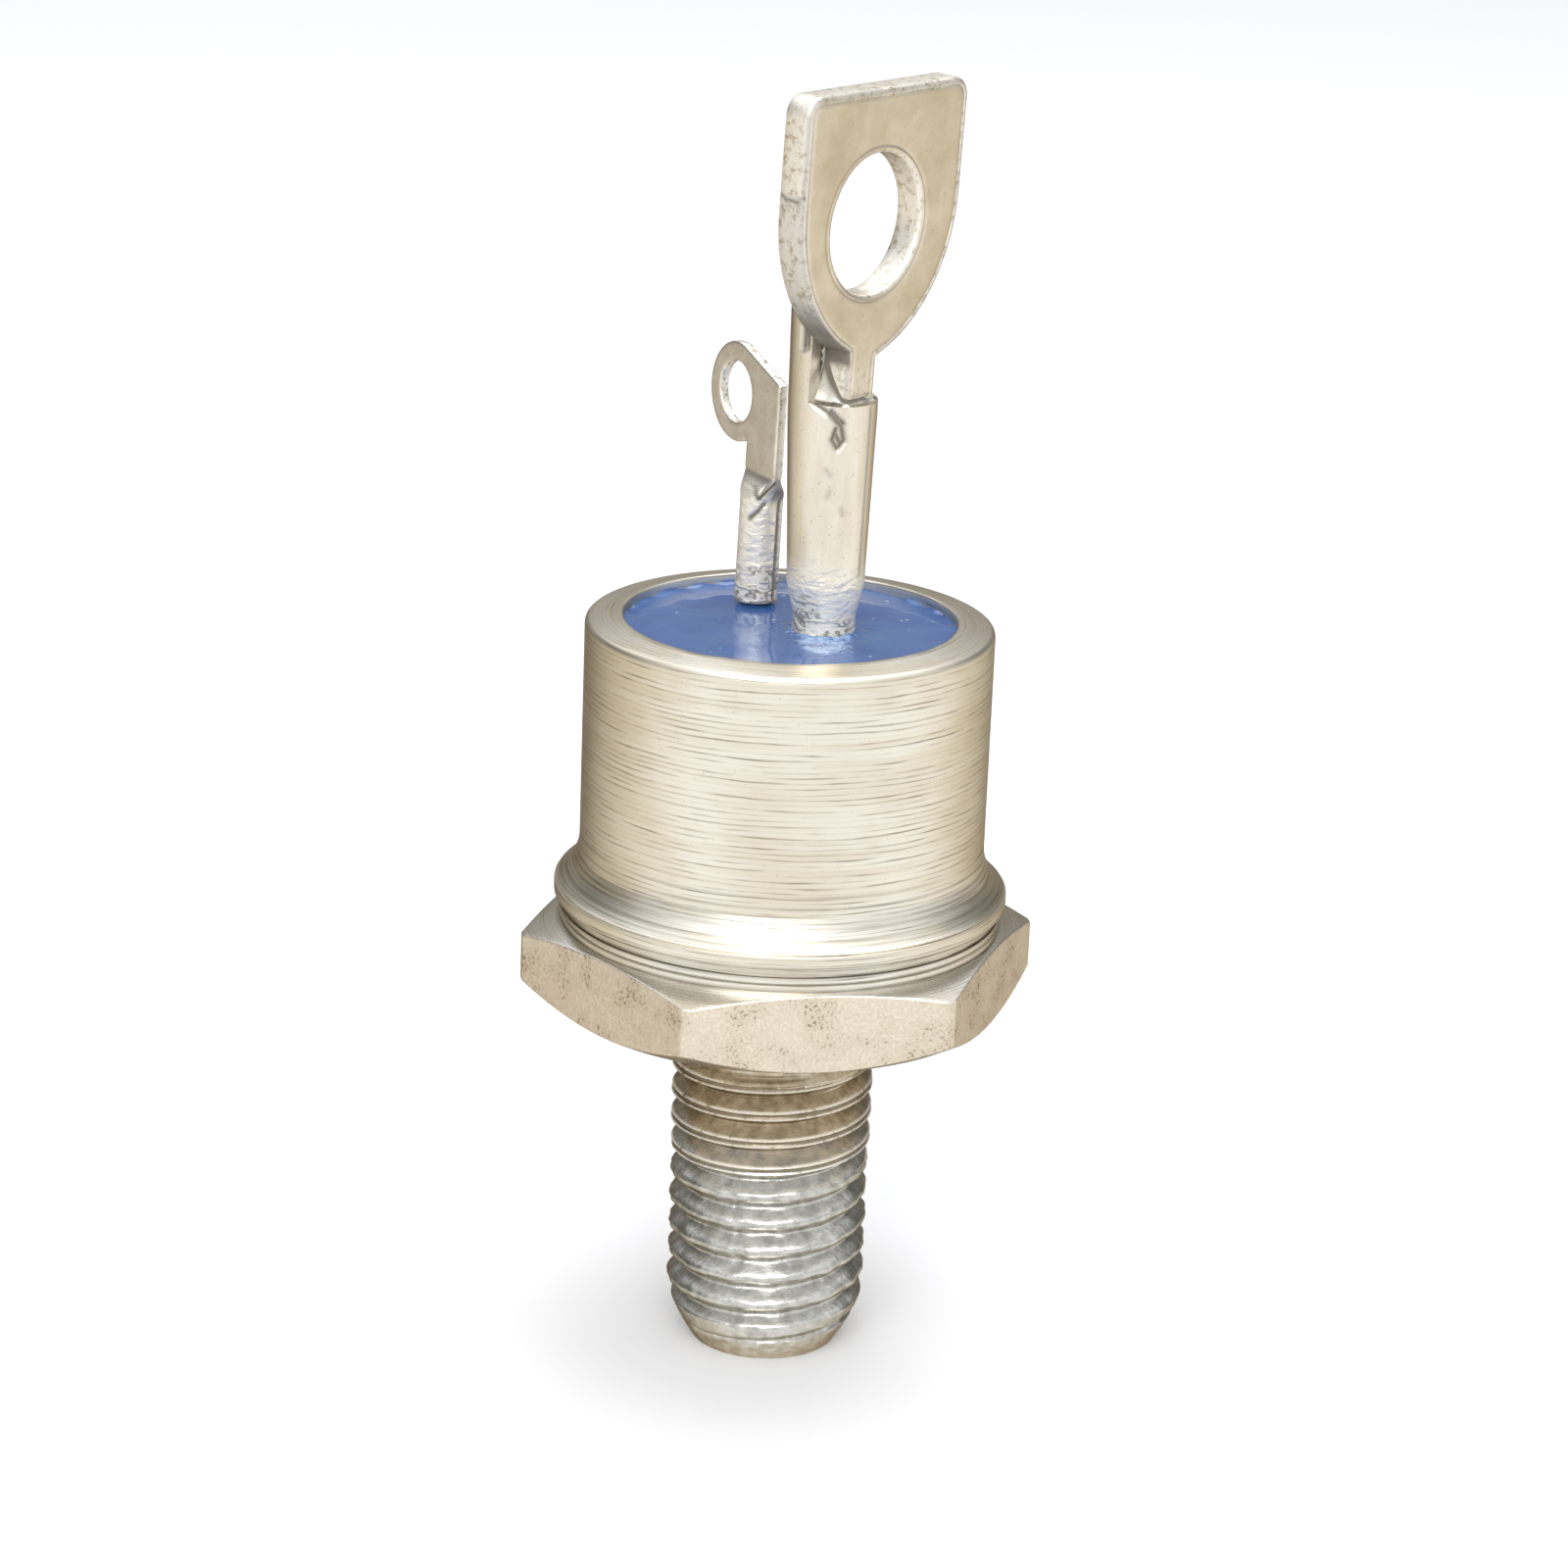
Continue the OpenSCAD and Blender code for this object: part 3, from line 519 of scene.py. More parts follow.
# A rounded corner takes at most this share of the sides next to it
CORNER_REACH = 0.49


def arc(centre, radius, start, end, steps):
    """Points of an arc in a plane, between two angles in degrees."""
    angles = [math.radians(start + (end - start) * i / steps) for i in range(steps + 1)]
    return [(centre[0] + radius * math.cos(a), centre[1] + radius * math.sin(a)) for a in angles]


def circle_points(centre, radius, count):
    """Points evenly round a circle."""
    return arc(centre, radius, 0, 360 * (count - 1) / count, count - 1)


def rounded(points, radii, steps=4):
    """An open run of 2D points with its corners rounded. A radius of 0 keeps a corner."""
    run = []
    for i, point in enumerate(points):
        here = Vector(point)
        if not radii[i]:
            run.append(tuple(here))
            continue
        before, after = Vector(points[i - 1]) - here, Vector(points[(i + 1) % len(points)]) - here
        half = before.angle(after) / 2
        reach = min(radii[i] / math.tan(half), before.length * CORNER_REACH, after.length * CORNER_REACH)
        first, last = here + before.normalized() * reach, here + after.normalized() * reach
        for k in range(steps + 1):
            t = k / steps
            run.append(tuple(first * (1 - t) ** 2 + here * 2 * t * (1 - t) + last * t ** 2))
    return run


def refine(run, step):
    """Adds points along the straight stretches of a run, so that none is longer than a step."""
    fine = [run[0]]
    for a, b in zip(run, run[1:]):
        count = max(1, math.ceil(math.dist(a, b) / step))
        fine += [tuple(p + (q - p) * k / count for p, q in zip(a, b)) for k in range(1, count + 1)]
    return fine


def skin(rows):
    """Vertices and faces of a grid of rows."""
    width = len(rows[0])
    points = [p for row in rows for p in row]
    faces = []
    for j in range(len(rows) - 1):
        a, b = j * width, (j + 1) * width
        faces += [(a + i, a + i + 1, b + i + 1, b + i) for i in range(width - 1)]
    return points, faces


def turn_profile(profile, angles):
    """Rows of points of a profile turned round the axis. The profile is a function of the angle."""
    columns = [[(r * math.cos(a), r * math.sin(a), z) for r, z in profile(a)] for a in angles]
    return [list(row) for row in zip(*columns)]


def full_turn(columns):
    """Angles of a full turn, with its first angle again at the end."""
    return [2 * math.pi * i / columns for i in range(columns + 1)]


def mesh_from(name, parts):
    """One welded mesh with outward faces, in metres, from parts given in millimetres."""
    build = bmesh.new()
    for points, faces in parts:
        corners = [build.verts.new(p) for p in points]
        for face in faces:
            build.faces.new([corners[i] for i in face])
    bmesh.ops.remove_doubles(build, verts=build.verts, dist=WELD)
    bmesh.ops.dissolve_degenerate(build, edges=build.edges, dist=WELD)
    loose = [v for v in build.verts if not v.link_faces]
    bmesh.ops.delete(build, geom=loose, context="VERTS")
    bmesh.ops.recalc_face_normals(build, faces=build.faces)
    bmesh.ops.scale(build, vec=(MM, MM, MM), verts=build.verts)
    mesh = bpy.data.meshes.new(name)
    build.to_mesh(mesh)
    build.free()
    return mesh


def new_object(name, parts):
    """An object in the scene with a mesh from its parts."""
    piece = bpy.data.objects.new(name, mesh_from(name, parts))
    bpy.context.scene.collection.objects.link(piece)
    return piece


def settle(piece, slot, *replaced):
    """Gives a piece its finish and its body, and hides the solid that it stands for."""
    mesh = piece.data
    mesh.materials.clear()
    mesh.materials.append(finishes[slot])
    mesh.shade_smooth()
    mesh.set_sharp_from_angle(angle=SHARP)
    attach(piece, "root")
    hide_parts(*replaced)
    print(piece.name, "triangles:", sum(len(p.vertices) - 2 for p in mesh.polygons))


def combine(piece, tool, operation):
    """Cuts a tool away from a piece, or joins it on, and removes the tool."""
    change = piece.modifiers.new("combine", "BOOLEAN")
    change.operation = operation
    change.solver = "EXACT"
    change.object = tool
    bpy.context.view_layer.update()
    view = bpy.context.evaluated_depsgraph_get()
    mesh = bpy.data.meshes.new_from_object(piece.evaluated_get(view))
    piece.modifiers.clear()
    old = piece.data
    piece.data = mesh
    bpy.data.meshes.remove(old)
    bpy.data.objects.remove(tool)


# %% [markdown]
# Dirt, rubbed edges and torn metal sit in places of their own. Each such look is stored as a share from 0 to
# 1 at every point of the mesh, and the finish reads it. The small functions below give shares that rise at
# one height, peak at a height or wander.

# %% Shares
def mark(piece, name, share):
    """Stores a share at each point of a mesh. The share is a function of the point's place in mm."""
    layer = piece.data.attributes.new(name, "FLOAT", "POINT")
    for vertex, value in zip(piece.data.vertices, layer.data):
        value.value = share(vertex.co / MM)


def fade(value, start, end):
    """Share from 0 at the start to 1 at the end, smooth at both."""
    t = min(max((value - start) / (end - start), 0.0), 1.0)
    return t * t * (3 - 2 * t)


def ridge(value, middle, width):
    """Share that is 1 at a value and falls off on both sides."""
    return math.exp(-((value - middle) / width) ** 2)


def turn_from(start, angle):
    """Turn from one angle to another, the short way round."""
    return (angle - start + math.pi) % (2 * math.pi) - math.pi


def wander(x, y, size, layer):
    """Smooth noise over a plane, with swells of a size in mm. Each layer is another pattern."""
    return noise.noise(Vector((x / size, y / size, layer)))


def wander_round(angle, swells, level):
    """Smooth noise round the axis. More swells make it change faster."""
    return noise.noise(Vector((swells * math.cos(angle), swells * math.sin(angle), level)))


print("halfway through a fade:", fade(0.5, 0, 1))

# %% [markdown]
# ## Base: hexagon and stud
# The base is one piece of copper, turned from hexagonal bar, with a rolled thread on its stud. It could be
# a cylinder with a screw modifier, but a real thread has a run-out and a tapered end that cut into its
# crests. Rolling presses the metal up from both flanks, so each crest has two fine lips with a dip between
# them, and thick tin fills the lower turns. So the stud is a grid whose rows climb with the helix, and its
# radius is the lowest of thread, neck and taper at each point. The same columns carry on over the hexagon,
# denser at its corners.

# %% Sizes of the base
HEX_R = 7.0
CORNER_R = 8.0
SEAT_R = 6.9
SEAT_ROUND = 0.1
COLLAR_R = 6.8
COLLAR_TOP = 2.95
HEX_H = 2.45
TOP_ROUND = 0.07
TOP_SLOPE = math.tan(math.radians(18))
BOTTOM_SLOPE = math.tan(math.radians(30))
PEDESTAL_R = 4.9
PAD_TOP = 3.9
# Where the shoulder meets the collar, and the groove in the collar: its middle, depth and half widths
SHOULDER_FOOT = HEX_H + (HEX_R - COLLAR_R) * TOP_SLOPE
GROOVE_AT = (SHOULDER_FOOT + COLLAR_TOP) / 2
GROOVE_CUT = 0.1
GROOVE_MOUTH = 0.05
GROOVE_FLOOR = 0.02
STUD_R = 3.15
ROOT_R = 2.62
STUD_END = -11.5
NECK_R = 2.875
NECK_END = -1.7
NECK_FILLET = 0.4
END_TAPER = 2.0
END_DRAW_IN = 0.85
END_ROUNDING = 1.6
PITCH = 25.4 / 28
# Rows of points to one turn of the thread, and how far its helix is turned, in turns
THREAD_ROWS = 22
THREAD_PHASE = 0.01
# Shares of half a pitch
CREST_FLAT = 0.24
ROOT_FLAT = 0.92
# Shares of the thread's depth: the dip in a crest, and the tin in the lower turns with its lumps
LIP_DIP = 0.16
TIN_FLOOR = 0.12
TIN_FILL = 0.8
TIN_LUMP = 0.12
TIN_LUMP_SIZE = 0.45
WORN_FROM = -4.4
WORN_TO = -6.0
RUN_OUT = 0.9


def crest_distance(z, angle):
    """Distance from the middle of a crest, from 0 there to 1 in a root."""
    turns = z / PITCH - angle / (2 * math.pi) + THREAD_PHASE
    return abs(turns - round(turns)) * 2


def thread_radius(z, angle):
    """Radius of the thread alone: a right-hand helix, crisp at the top and filled with tin lower down."""
    off_crest = crest_distance(z, angle)
    if off_crest < CREST_FLAT:
        crisp = 1 - LIP_DIP * (1 - (off_crest / CREST_FLAT) ** 2)
    else:
        crisp = max(0.0, (ROOT_FLAT - off_crest) / (ROOT_FLAT - CREST_FLAT))
    filled = TIN_FLOOR + TIN_FILL * (0.5 + 0.5 * math.cos(math.pi * off_crest)) ** 0.8
    lump = noise.noise(Vector((STUD_R * math.cos(angle), STUD_R * math.sin(angle), z)) / TIN_LUMP_SIZE)
    share = crisp + (filled + TIN_LUMP * lump - crisp) * fade(z, WORN_FROM, WORN_TO)
    return ROOT_R + (STUD_R - ROOT_R) * min(share, 1.0)


def stud_radius(z, angle):
    """Radius of the stud: the thread between its run-out at the neck and the taper of its end."""
    below_neck = NECK_END - z
    if below_neck <= 0:
        return NECK_R
    filled = max(0.0, 1 - below_neck / RUN_OUT)
    floor = ROOT_R + (NECK_R - ROOT_R) * filled
    to_taper = max(0.0, 1 - (z - STUD_END) / END_TAPER)
    cap = STUD_R - END_DRAW_IN * to_taper ** END_ROUNDING
    return min(max(thread_radius(z, angle), floor), NECK_R + below_neck, cap)


def side_angles():
    """Angles round the base, with more of them next to the six corners."""
    half = [0, 4, 8, 12, 16, 20, 23.5, 26, 27.6, 28.5, 28.955, 29.4, 30]
    side = [-a for a in half[:0:-1]] + half[:-1]
    return [math.radians(60 * k + 30 + a) for k in range(6) for a in side] + [math.radians(360)]


def hex_side(angle):
    """Distance of the hexagon's side from the axis, cut off by the turned corners, and its two heights."""
    from_flat = (math.degrees(angle) % 60) - 30
    side = min(HEX_R / math.cos(math.radians(from_flat)), CORNER_R)
    return side, (side - SEAT_R) * BOTTOM_SLOPE, HEX_H - (side - HEX_R) * TOP_SLOPE


print("thread turns on the stud:", round((NECK_END - STUD_END) / PITCH, 1))

# %% [markdown]
# The hexagon's flats rise into arcs where the turned shoulder cuts them, which is what one sees at the top
# of any turned hexagon. In the grid that needs no cutting: each column's profile has its own flat height.

# %% Build the base
def stud_rows(angles):
    """Rows that climb with the helix, held between the stud's end and the neck's fillet."""
    top = -NECK_FILLET
    rows = []
    for j in range(math.ceil((top - STUD_END) / PITCH + 1) * THREAD_ROWS + 1):
        row = []
        for a in angles:
            z = STUD_END + PITCH * (j / THREAD_ROWS - 1 + a / (2 * math.pi))
            z = min(max(z, STUD_END), top)
            r = stud_radius(z, a)
            row.append((r * math.cos(a), r * math.sin(a), z))
        rows.append(row)
    return rows


def base_profile(angle):
    """Half section of the base over its stud, at one angle."""
    side, low, high = hex_side(angle)
    fillet = [(NECK_R + NECK_FILLET - NECK_FILLET * math.sin(t), -NECK_FILLET + NECK_FILLET * math.cos(t))
              for t in (math.radians(90 - 15 * k) for k in range(7))]
    body = rounded([(SEAT_R, 0), (side, low), (side, high), (COLLAR_R, SHOULDER_FOOT)],
                   [0, SEAT_ROUND, TOP_ROUND, 0])
    start = body[-2]
    shoulder = [(start[0] + (COLLAR_R - start[0]) * k / 6, start[1] + (SHOULDER_FOOT - start[1]) * k / 6)
                for k in range(1, 7)]
    floor_r = COLLAR_R - GROOVE_CUT
    collar = rounded([(COLLAR_R, SHOULDER_FOOT), (COLLAR_R, GROOVE_AT - GROOVE_MOUTH),
                      (floor_r, GROOVE_AT - GROOVE_FLOOR), (floor_r, GROOVE_AT + GROOVE_FLOOR),
                      (COLLAR_R, GROOVE_AT + GROOVE_MOUTH), (COLLAR_R, COLLAR_TOP),
                      (PEDESTAL_R, COLLAR_TOP), (PEDESTAL_R, PAD_TOP), (0, PAD_TOP)],
                     [0, 0.03, 0.02, 0.02, 0.03, 0.05, 0, 0.05, 0], 2)
    return fillet + body[:-1] + shoulder + collar[1:]


def end_profile(angle):
    """The stud's flat end, from the axis outwards."""
    return [(r * stud_radius(STUD_END, angle), STUD_END) for r in (0, 0.4, 0.8, 1)]


angles = side_angles()
base = new_object("base_with_stud", [skin(turn_profile(end_profile, angles)), skin(stud_rows(angles)),
                                     skin(turn_profile(base_profile, angles))])
settle(base, "tinned_copper", "stud_base")

# %% [markdown]
# Four looks share the base: the flats, the stud, its crests with their painted highlight, and the painted
# shade at the foot of the collar, in its groove and under the ring.

# %% Looks of the base
# Crests carry their painted highlight and shade where the thread is at least this crisp
CREST_SHARE = 0.3
# Strength of the painted shade in the collar's joints and groove
BASE_JOINT_SHADE = 0.45


def on_flat(p):
    """Whether a point lies on one of the six flats."""
    side, low, high = hex_side(math.atan2(p.y, p.x))
    return float(math.hypot(p.x, p.y) > side - 0.02 and low < p.z < high)


def on_crest(p):
    """Distance from a crest's middle, where the crests are still crisp. It is 1 elsewhere."""
    crisp = fade(p.z, NECK_END - 0.2, NECK_END - 0.5) * (1 - fade(p.z, WORN_FROM, WORN_TO))
    return 1 - (1 - crest_distance(p.z, math.atan2(p.y, p.x))) * float(crisp > CREST_SHARE)


def base_crevice(p):
    """Painted shade at the collar's foot, in its groove and under the ring."""
    radius = math.hypot(p.x, p.y)
    in_groove = float(radius < COLLAR_R - 0.03) * ridge(p.z, GROOVE_AT, 0.08)
    at_collar = max(ridge(p.z, SHOULDER_FOOT, 0.03), ridge(p.z, COLLAR_TOP, 0.04))
    return BASE_JOINT_SHADE * max(in_groove, at_collar * float(radius < COLLAR_R + 0.03))


mark(base, "flat", on_flat)
mark(base, "stud", lambda p: float(p.z < -0.05))
mark(base, "crest", on_crest)
mark(base, "crevice", base_crevice)
print("looks stored on the base:", 4)

# %% [markdown]
# ## Ring and case
# A steel ring is brazed on the collar, and the case is welded to it at its flange. Both were turned. The
# hollow sweep over the flange is an arc. The case could carry its tool lines as bump alone, but the
# stronger ones show at its silhouette, so they are cut into the profile, and bump adds the finest. The rim
# falls a little from the mouth to its outer edge, and the lip of the mouth is worn unevenly by the wires
# and tools that touched it.

# %% Build the ring and the case
RING_R = 6.75
RING_TOP = 3.29
RING_BEAD = 0.06
RING_COLUMNS = 144
FLANGE_R = 6.975
FLANGE_TOP = 3.69
CASE_R = 6.225
CASE_TOP = 12.14
ROOM_R = 5.4
MOUTH_R = 5.075
MOUTH_L = 3.2
FLARE_R = 1.7
RIM_H = 0.6
RIM_ROUND = 0.28
RIM_FALL = 0.2
RIM_STEP = 0.12
MOUTH_ROUND = 0.07
LIP_WAVE = 0.04
CASE_COLUMNS = 192
LINE_STEP = 0.05
# Heights of the lines round the foot of the case: the deep ones, and the dirty ones in the sweep
DEEP_LINES = (4.3, 4.65, 5.24)
SWEEP_LINES = (3.86, 4.02, 4.46, 4.9)
DEEP_WIDTH = 0.035
DEEP_CUT = 0.014
FINE_LINE = 0.11
FINE_CUT = 0.0025


def case_lines(z, angle):
    """Depth of the tool's lines at a height, fading in and out round the case."""
    fine = noise.noise(Vector((z / FINE_LINE, 0.0, 7.0))) * FINE_CUT
    present = 0.6 + 0.4 * wander_round(angle, 2, z / 0.4)
    return fine * present + sum(ridge(z, line, DEEP_WIDTH) for line in DEEP_LINES) * DEEP_CUT


def case_section():
    """Closed section of the case, before the tool's lines."""
    flare_h = math.sqrt(FLARE_R ** 2 - (FLARE_R - (FLANGE_R - CASE_R)) ** 2)
    sweep_centre = (CASE_R + FLARE_R, FLANGE_TOP + flare_h)
    foot_angle = math.degrees(math.asin(flare_h / FLARE_R))
    sweep = arc(sweep_centre, FLARE_R, 180 + foot_angle, 180, 24)
    outside = rounded([(ROOM_R, RING_TOP), (FLANGE_R, RING_TOP), (FLANGE_R, FLANGE_TOP)], [0, 0.05, 0.06])
    rim = rounded([(CASE_R, CASE_TOP - RIM_H), (CASE_R, CASE_TOP - RIM_FALL), (MOUTH_R, CASE_TOP),
                   (MOUTH_R, CASE_TOP - RIM_H)], [0, RIM_ROUND, MOUTH_ROUND, 0], 6)
    inside = [(MOUTH_R, CASE_TOP - MOUTH_L), (ROOM_R, CASE_TOP - MOUTH_L - (ROOM_R - MOUTH_R)),
              (ROOM_R, RING_TOP)]
    outer = refine(outside + sweep[1:] + rim[:1], LINE_STEP)
    return outer + refine(rim, RIM_STEP)[1:] + inside


CASE_SECTION = case_section()


def case_profile(angle):
    """Section of the case with the tool's lines cut into the outside, and a worn lip at the mouth."""
    profile = []
    worn = LIP_WAVE * (0.5 + 0.5 * wander_round(angle, 5, 3.0))
    for r, z in CASE_SECTION:
        outside = r > MOUTH_R + 0.5 and FLANGE_TOP < z < CASE_TOP - RIM_ROUND
        at_lip = r < MOUTH_R + 0.1 and z > CASE_TOP - 0.4
        profile.append((r - case_lines(z, angle) if outside else r, z - worn if at_lip else z))
    return profile


def ring_profile(angle):
    """Section of the ring, the same at each angle, with the small bead of its weld under the flange."""
    section = rounded([(PEDESTAL_R, COLLAR_TOP), (RING_R, COLLAR_TOP), (RING_R, RING_TOP - RING_BEAD),
                       (RING_R + RING_BEAD, RING_TOP), (PEDESTAL_R, RING_TOP)], [0, 0.05, 0.05, 0.03, 0])
    return section + section[:1]


case = new_object("case_shell", [skin(turn_profile(case_profile, full_turn(CASE_COLUMNS)))])
settle(case, "tinned_case", "case")
ring = new_object("flange_weld_ring", [skin(turn_profile(ring_profile, full_turn(RING_COLUMNS)))])
settle(ring, "tinned_steel", "weld_ring")

# %% [markdown]
# Painted shade lies under the flange and where the ring meets the collar, and dirt gathers in the stronger
# lines over the flange, where it comes and goes round the case.

# %% Dirt on the ring and the case
# Strength of the dirt in the lines, and of the painted shade under the flange and at the ring's joints
LINE_DIRT = 0.55
UNDER_FLANGE = 0.7
RING_JOINT_SHADE = 0.6


def case_crevice(p):
    """Painted shade under the flange, and dirt in the stronger lines over it."""
    broken = 0.5 + 0.8 * wander_round(math.atan2(p.y, p.x), 3, p.z / 0.3)
    lines = max(ridge(p.z, line, 0.04) for line in (*DEEP_LINES, *SWEEP_LINES))
    return max(UNDER_FLANGE * ridge(p.z, RING_TOP, 0.05), min(max(LINE_DIRT * lines * broken, 0.0), 1.0))


mark(case, "crevice", case_crevice)
# Painted shade under the flange and where the ring sits on the collar
mark(ring, "crevice", lambda p: RING_JOINT_SHADE * max(ridge(p.z, RING_TOP, 0.07), ridge(p.z, COLLAR_TOP, 0.05)))
print("dirty lines round the case:", len(DEEP_LINES) + len(SWEEP_LINES))

# %% [markdown]
# ## The glass header
# The glass was melted, so its skin creeps up every metal wall that it wets and freezes with small
# ripples round the large tube. A flat disc would look like a plastic plug. Here the skin is a net of
# triangles between the mouth and the two terminals, and each point's height says how near a wall it is.
# Glass shrinks as it sets, so the skin lies a little under its level.

# %% Build the glass
GLASS_TOP = 11.87
GLASS_T = 2.6
GLASS_NET = 0.08
SKIN_DROP = 0.12
CREEP = 0.1
# How far from the mouth and from a terminal the creep has died away
CREEP_AT_MOUTH = 0.1
CREEP_AT_PIN = 0.12
# Heights in mm of the ripples near the tube and of the slow swells
RIPPLE_H = 0.06
SWELL_H = 0.015
# Rings of points next to each wall, and the distance from it where the even net starts
WALL_RINGS = (0.03, 0.07, 0.12, 0.17, 0.22)
WALL_STEP = 0.06
NET_FROM = 0.28


def fill(loops, inner, inside):
    """Triangles between closed loops of 2D points, over inner points. The test says what is inside."""
    points, edges = [], []
    for loop in loops:
        start = len(points)
        points += loop
        edges += [(start + i, start + (i + 1) % len(loop)) for i in range(len(loop))]
    points += inner
    net = delaunay_2d_cdt([Vector(p) for p in points], edges, [], 0, 1e-7)
    middles = [sum((net[0][i] for i in face), Vector((0, 0))) / len(face) for face in net[2]]
    faces = [tuple(face) for face, middle in zip(net[2], middles) if inside(middle)]
    return [tuple(p) for p in net[0]], faces


def wall_distances(x, y):
    """Distances to the mouth, the tube and the pin. They are positive in the glass."""
    return (MOUTH_R - math.hypot(x, y), math.dist((x, y), CATHODE_AT) - FOOT_R,
            math.dist((x, y), GATE_AT) - PIN_R)


def glass_height(x, y):
    """Height of the glass's skin: up at each wall, with ripples near the tube."""
    to_wall, to_tube, to_pin = wall_distances(x, y)
    wetted = 1 + 1.2 * wander(x, y, 0.7, 4.0)
    rise = CREEP * (wetted * math.exp(-to_wall / CREEP_AT_MOUTH) + math.exp(-to_tube / CREEP_AT_PIN)
                    + math.exp(-to_pin / CREEP_AT_PIN))
    ripple = wander(x, y, 0.26, 2.0) + 0.5 * wander(x, y, 0.12, 9.0)
    near_tube = math.exp(-max(to_tube, 0) / 0.4)
    return (GLASS_TOP - SKIN_DROP + rise + RIPPLE_H * ripple * near_tube
            + SWELL_H * wander(x, y, 1.1, 5.0))


def glass_points():
    """Points inside the glass: rings at each wall and an even net between them."""
    inner = []
    for centre, way, radius in (((0, 0), -1, MOUTH_R), (CATHODE_AT, 1, FOOT_R), (GATE_AT, 1, PIN_R)):
        for off in WALL_RINGS:
            count = max(24, int(2 * math.pi * radius / WALL_STEP))
            inner += circle_points(centre, radius + way * off, count)
    steps = int(MOUTH_R / GLASS_NET) + 1
    for i in range(-steps, steps + 1):
        for j in range(-steps, steps + 1):
            x, y = (i + 0.5 * (j % 2)) * GLASS_NET, j * GLASS_NET * 0.87
            if min(wall_distances(x, y)) > NET_FROM:
                inner.append((x, y))
    return inner


def glass_parts():
    """Disc of glass with a hole for each terminal: its skin, its floor and its walls."""
    rims = [circle_points((0, 0), MOUTH_R, 160), circle_points(CATHODE_AT, FOOT_R, 64),
            circle_points(GATE_AT, PIN_R, 40)]
    floor = GLASS_TOP - GLASS_T
    parts = []
    for inner, height in ((glass_points(), glass_height), ([], lambda x, y: floor)):
        flat, faces = fill(rims, inner, lambda p: min(wall_distances(*p)) > 0)
        parts.append(([(x, y, height(x, y)) for x, y in flat], faces))
    for loop in rims:
        around = loop + loop[:1]
        parts.append(skin([[(x, y, glass_height(x, y)) for x, y in around],
                           [(x, y, floor) for x, y in around]]))
    return parts


glass = new_object("glass_header", glass_parts())
settle(glass, "blue_glass", "glass_seal")

# %% [markdown]
# ## Creases
# Both terminals were squeezed by hand tools, which left small creases. A crease is drawn as a run of points
# on the unrolled wall, one length round and one along the axis, and the wall sinks by how near it lies.

# %% Crease helper
CREASE_WIDTH = 0.09
FOLD_WIDTH = 0.07


def run_distance(point, run):
    """Distance from a point to a run of points in a plane."""
    nearest = math.inf
    for a, b in zip(run, run[1:]):
        a, along, here = Vector(a), Vector(b) - Vector(a), Vector(point)
        t = min(max((here - a).dot(along) / along.length_squared, 0.0), 1.0)
        nearest = min(nearest, (here - a - along * t).length)
    return nearest


def crease(angle, z, facing, radius, runs, width):
    """Share from 0 to 1 of a crease at a point of a wall. The runs start at the angle that they face."""
    place = (turn_from(facing, angle) * radius, z)
    return max(ridge(run_distance(place, run), 0, width) for run in runs)


print("a fold falls to half its depth within", round(FOLD_WIDTH * math.sqrt(math.log(2)), 3), "mm")

# %% [markdown]
# ## The cathode tube
# The tube was drawn from nickel-iron: narrow in the glass, a cone, then a long body that opens a little
# towards its end. Its end was cut to a half tube, and the tag's tang sits in that notch. The tube is turned
# as a grid, and two blocks cut it where the real one was cut, so that its wall shows its true thickness.

# %% Build the tube
TUBE_R = 1.175
TUBE_BORE_R = 0.72
TUBE_END_R = 1.34
FOOT_H = 0.45
FOOT_CONE = 1.0
NOTCH_H = 7.15
LAP_H = 3.1
LAP_SLOPE = math.radians(20)
TUBE_TAIL = 0.7
TUBE_COLUMNS = 200
SOLDER_DEPTH = 0.5
# The tag's turn about the tube and its lean, and how far its back lies before the tube's axis
TAG_TURN = math.radians(40.4)
TAG_LEAN = math.radians(2.6)
TAG_OFF = 0.1
# Half of the size of a cutting block, which is only larger than the part
FAR = 9
BROKEN_EDGE = 0.035

on_cathode = Matrix.Translation((*CATHODE_AT, GLASS_TOP))
on_tag = (on_cathode @ Matrix.Rotation(TAG_TURN, 4, "Z") @ Matrix.Translation((0, -TAG_OFF, NOTCH_H))
          @ Matrix.Rotation(TAG_LEAN, 4, "X"))

# The crease and marks on the tube's front, which faces the camera's side, as length round and height
FRONT = math.radians(-101)
TUBE_CREASES = (
    ((-0.6, 7.2), (-0.1, 6.9), (0.25, 6.5), (0.33, 6.1), (0.15, 5.85), (0.0, 6.1), (0.1, 6.45)),
    ((-0.05, 6.98), (0.3, 6.6)), ((0.08, 6.3), (0.2, 6.05)),
    ((-0.92, 8.8), (-0.9, 9.35)), ((-0.8, 8.85), (-0.8, 9.3)))
TUBE_MARKS = (((-0.12, 5.2), (0.0, 5.0)), ((0.0, 4.55), (-0.05, 4.35)), ((0.35, 4.0), (0.4, 3.85)))
CREASE_DEPTH = 0.1
MARK_DEPTH = 0.03
MARKS_FROM = 3.6
MARKS_TO = 9.6
MARKS_STEP = 0.07


def tube_sunk(angle, z):
    """Depth of the creases and marks at a point of the tube's wall."""
    if not MARKS_FROM < z < MARKS_TO:
        return 0.0
    return max(CREASE_DEPTH * crease(angle, z, FRONT, TUBE_R, TUBE_CREASES, CREASE_WIDTH),
               MARK_DEPTH * crease(angle, z, FRONT, TUBE_R, TUBE_MARKS, CREASE_WIDTH))


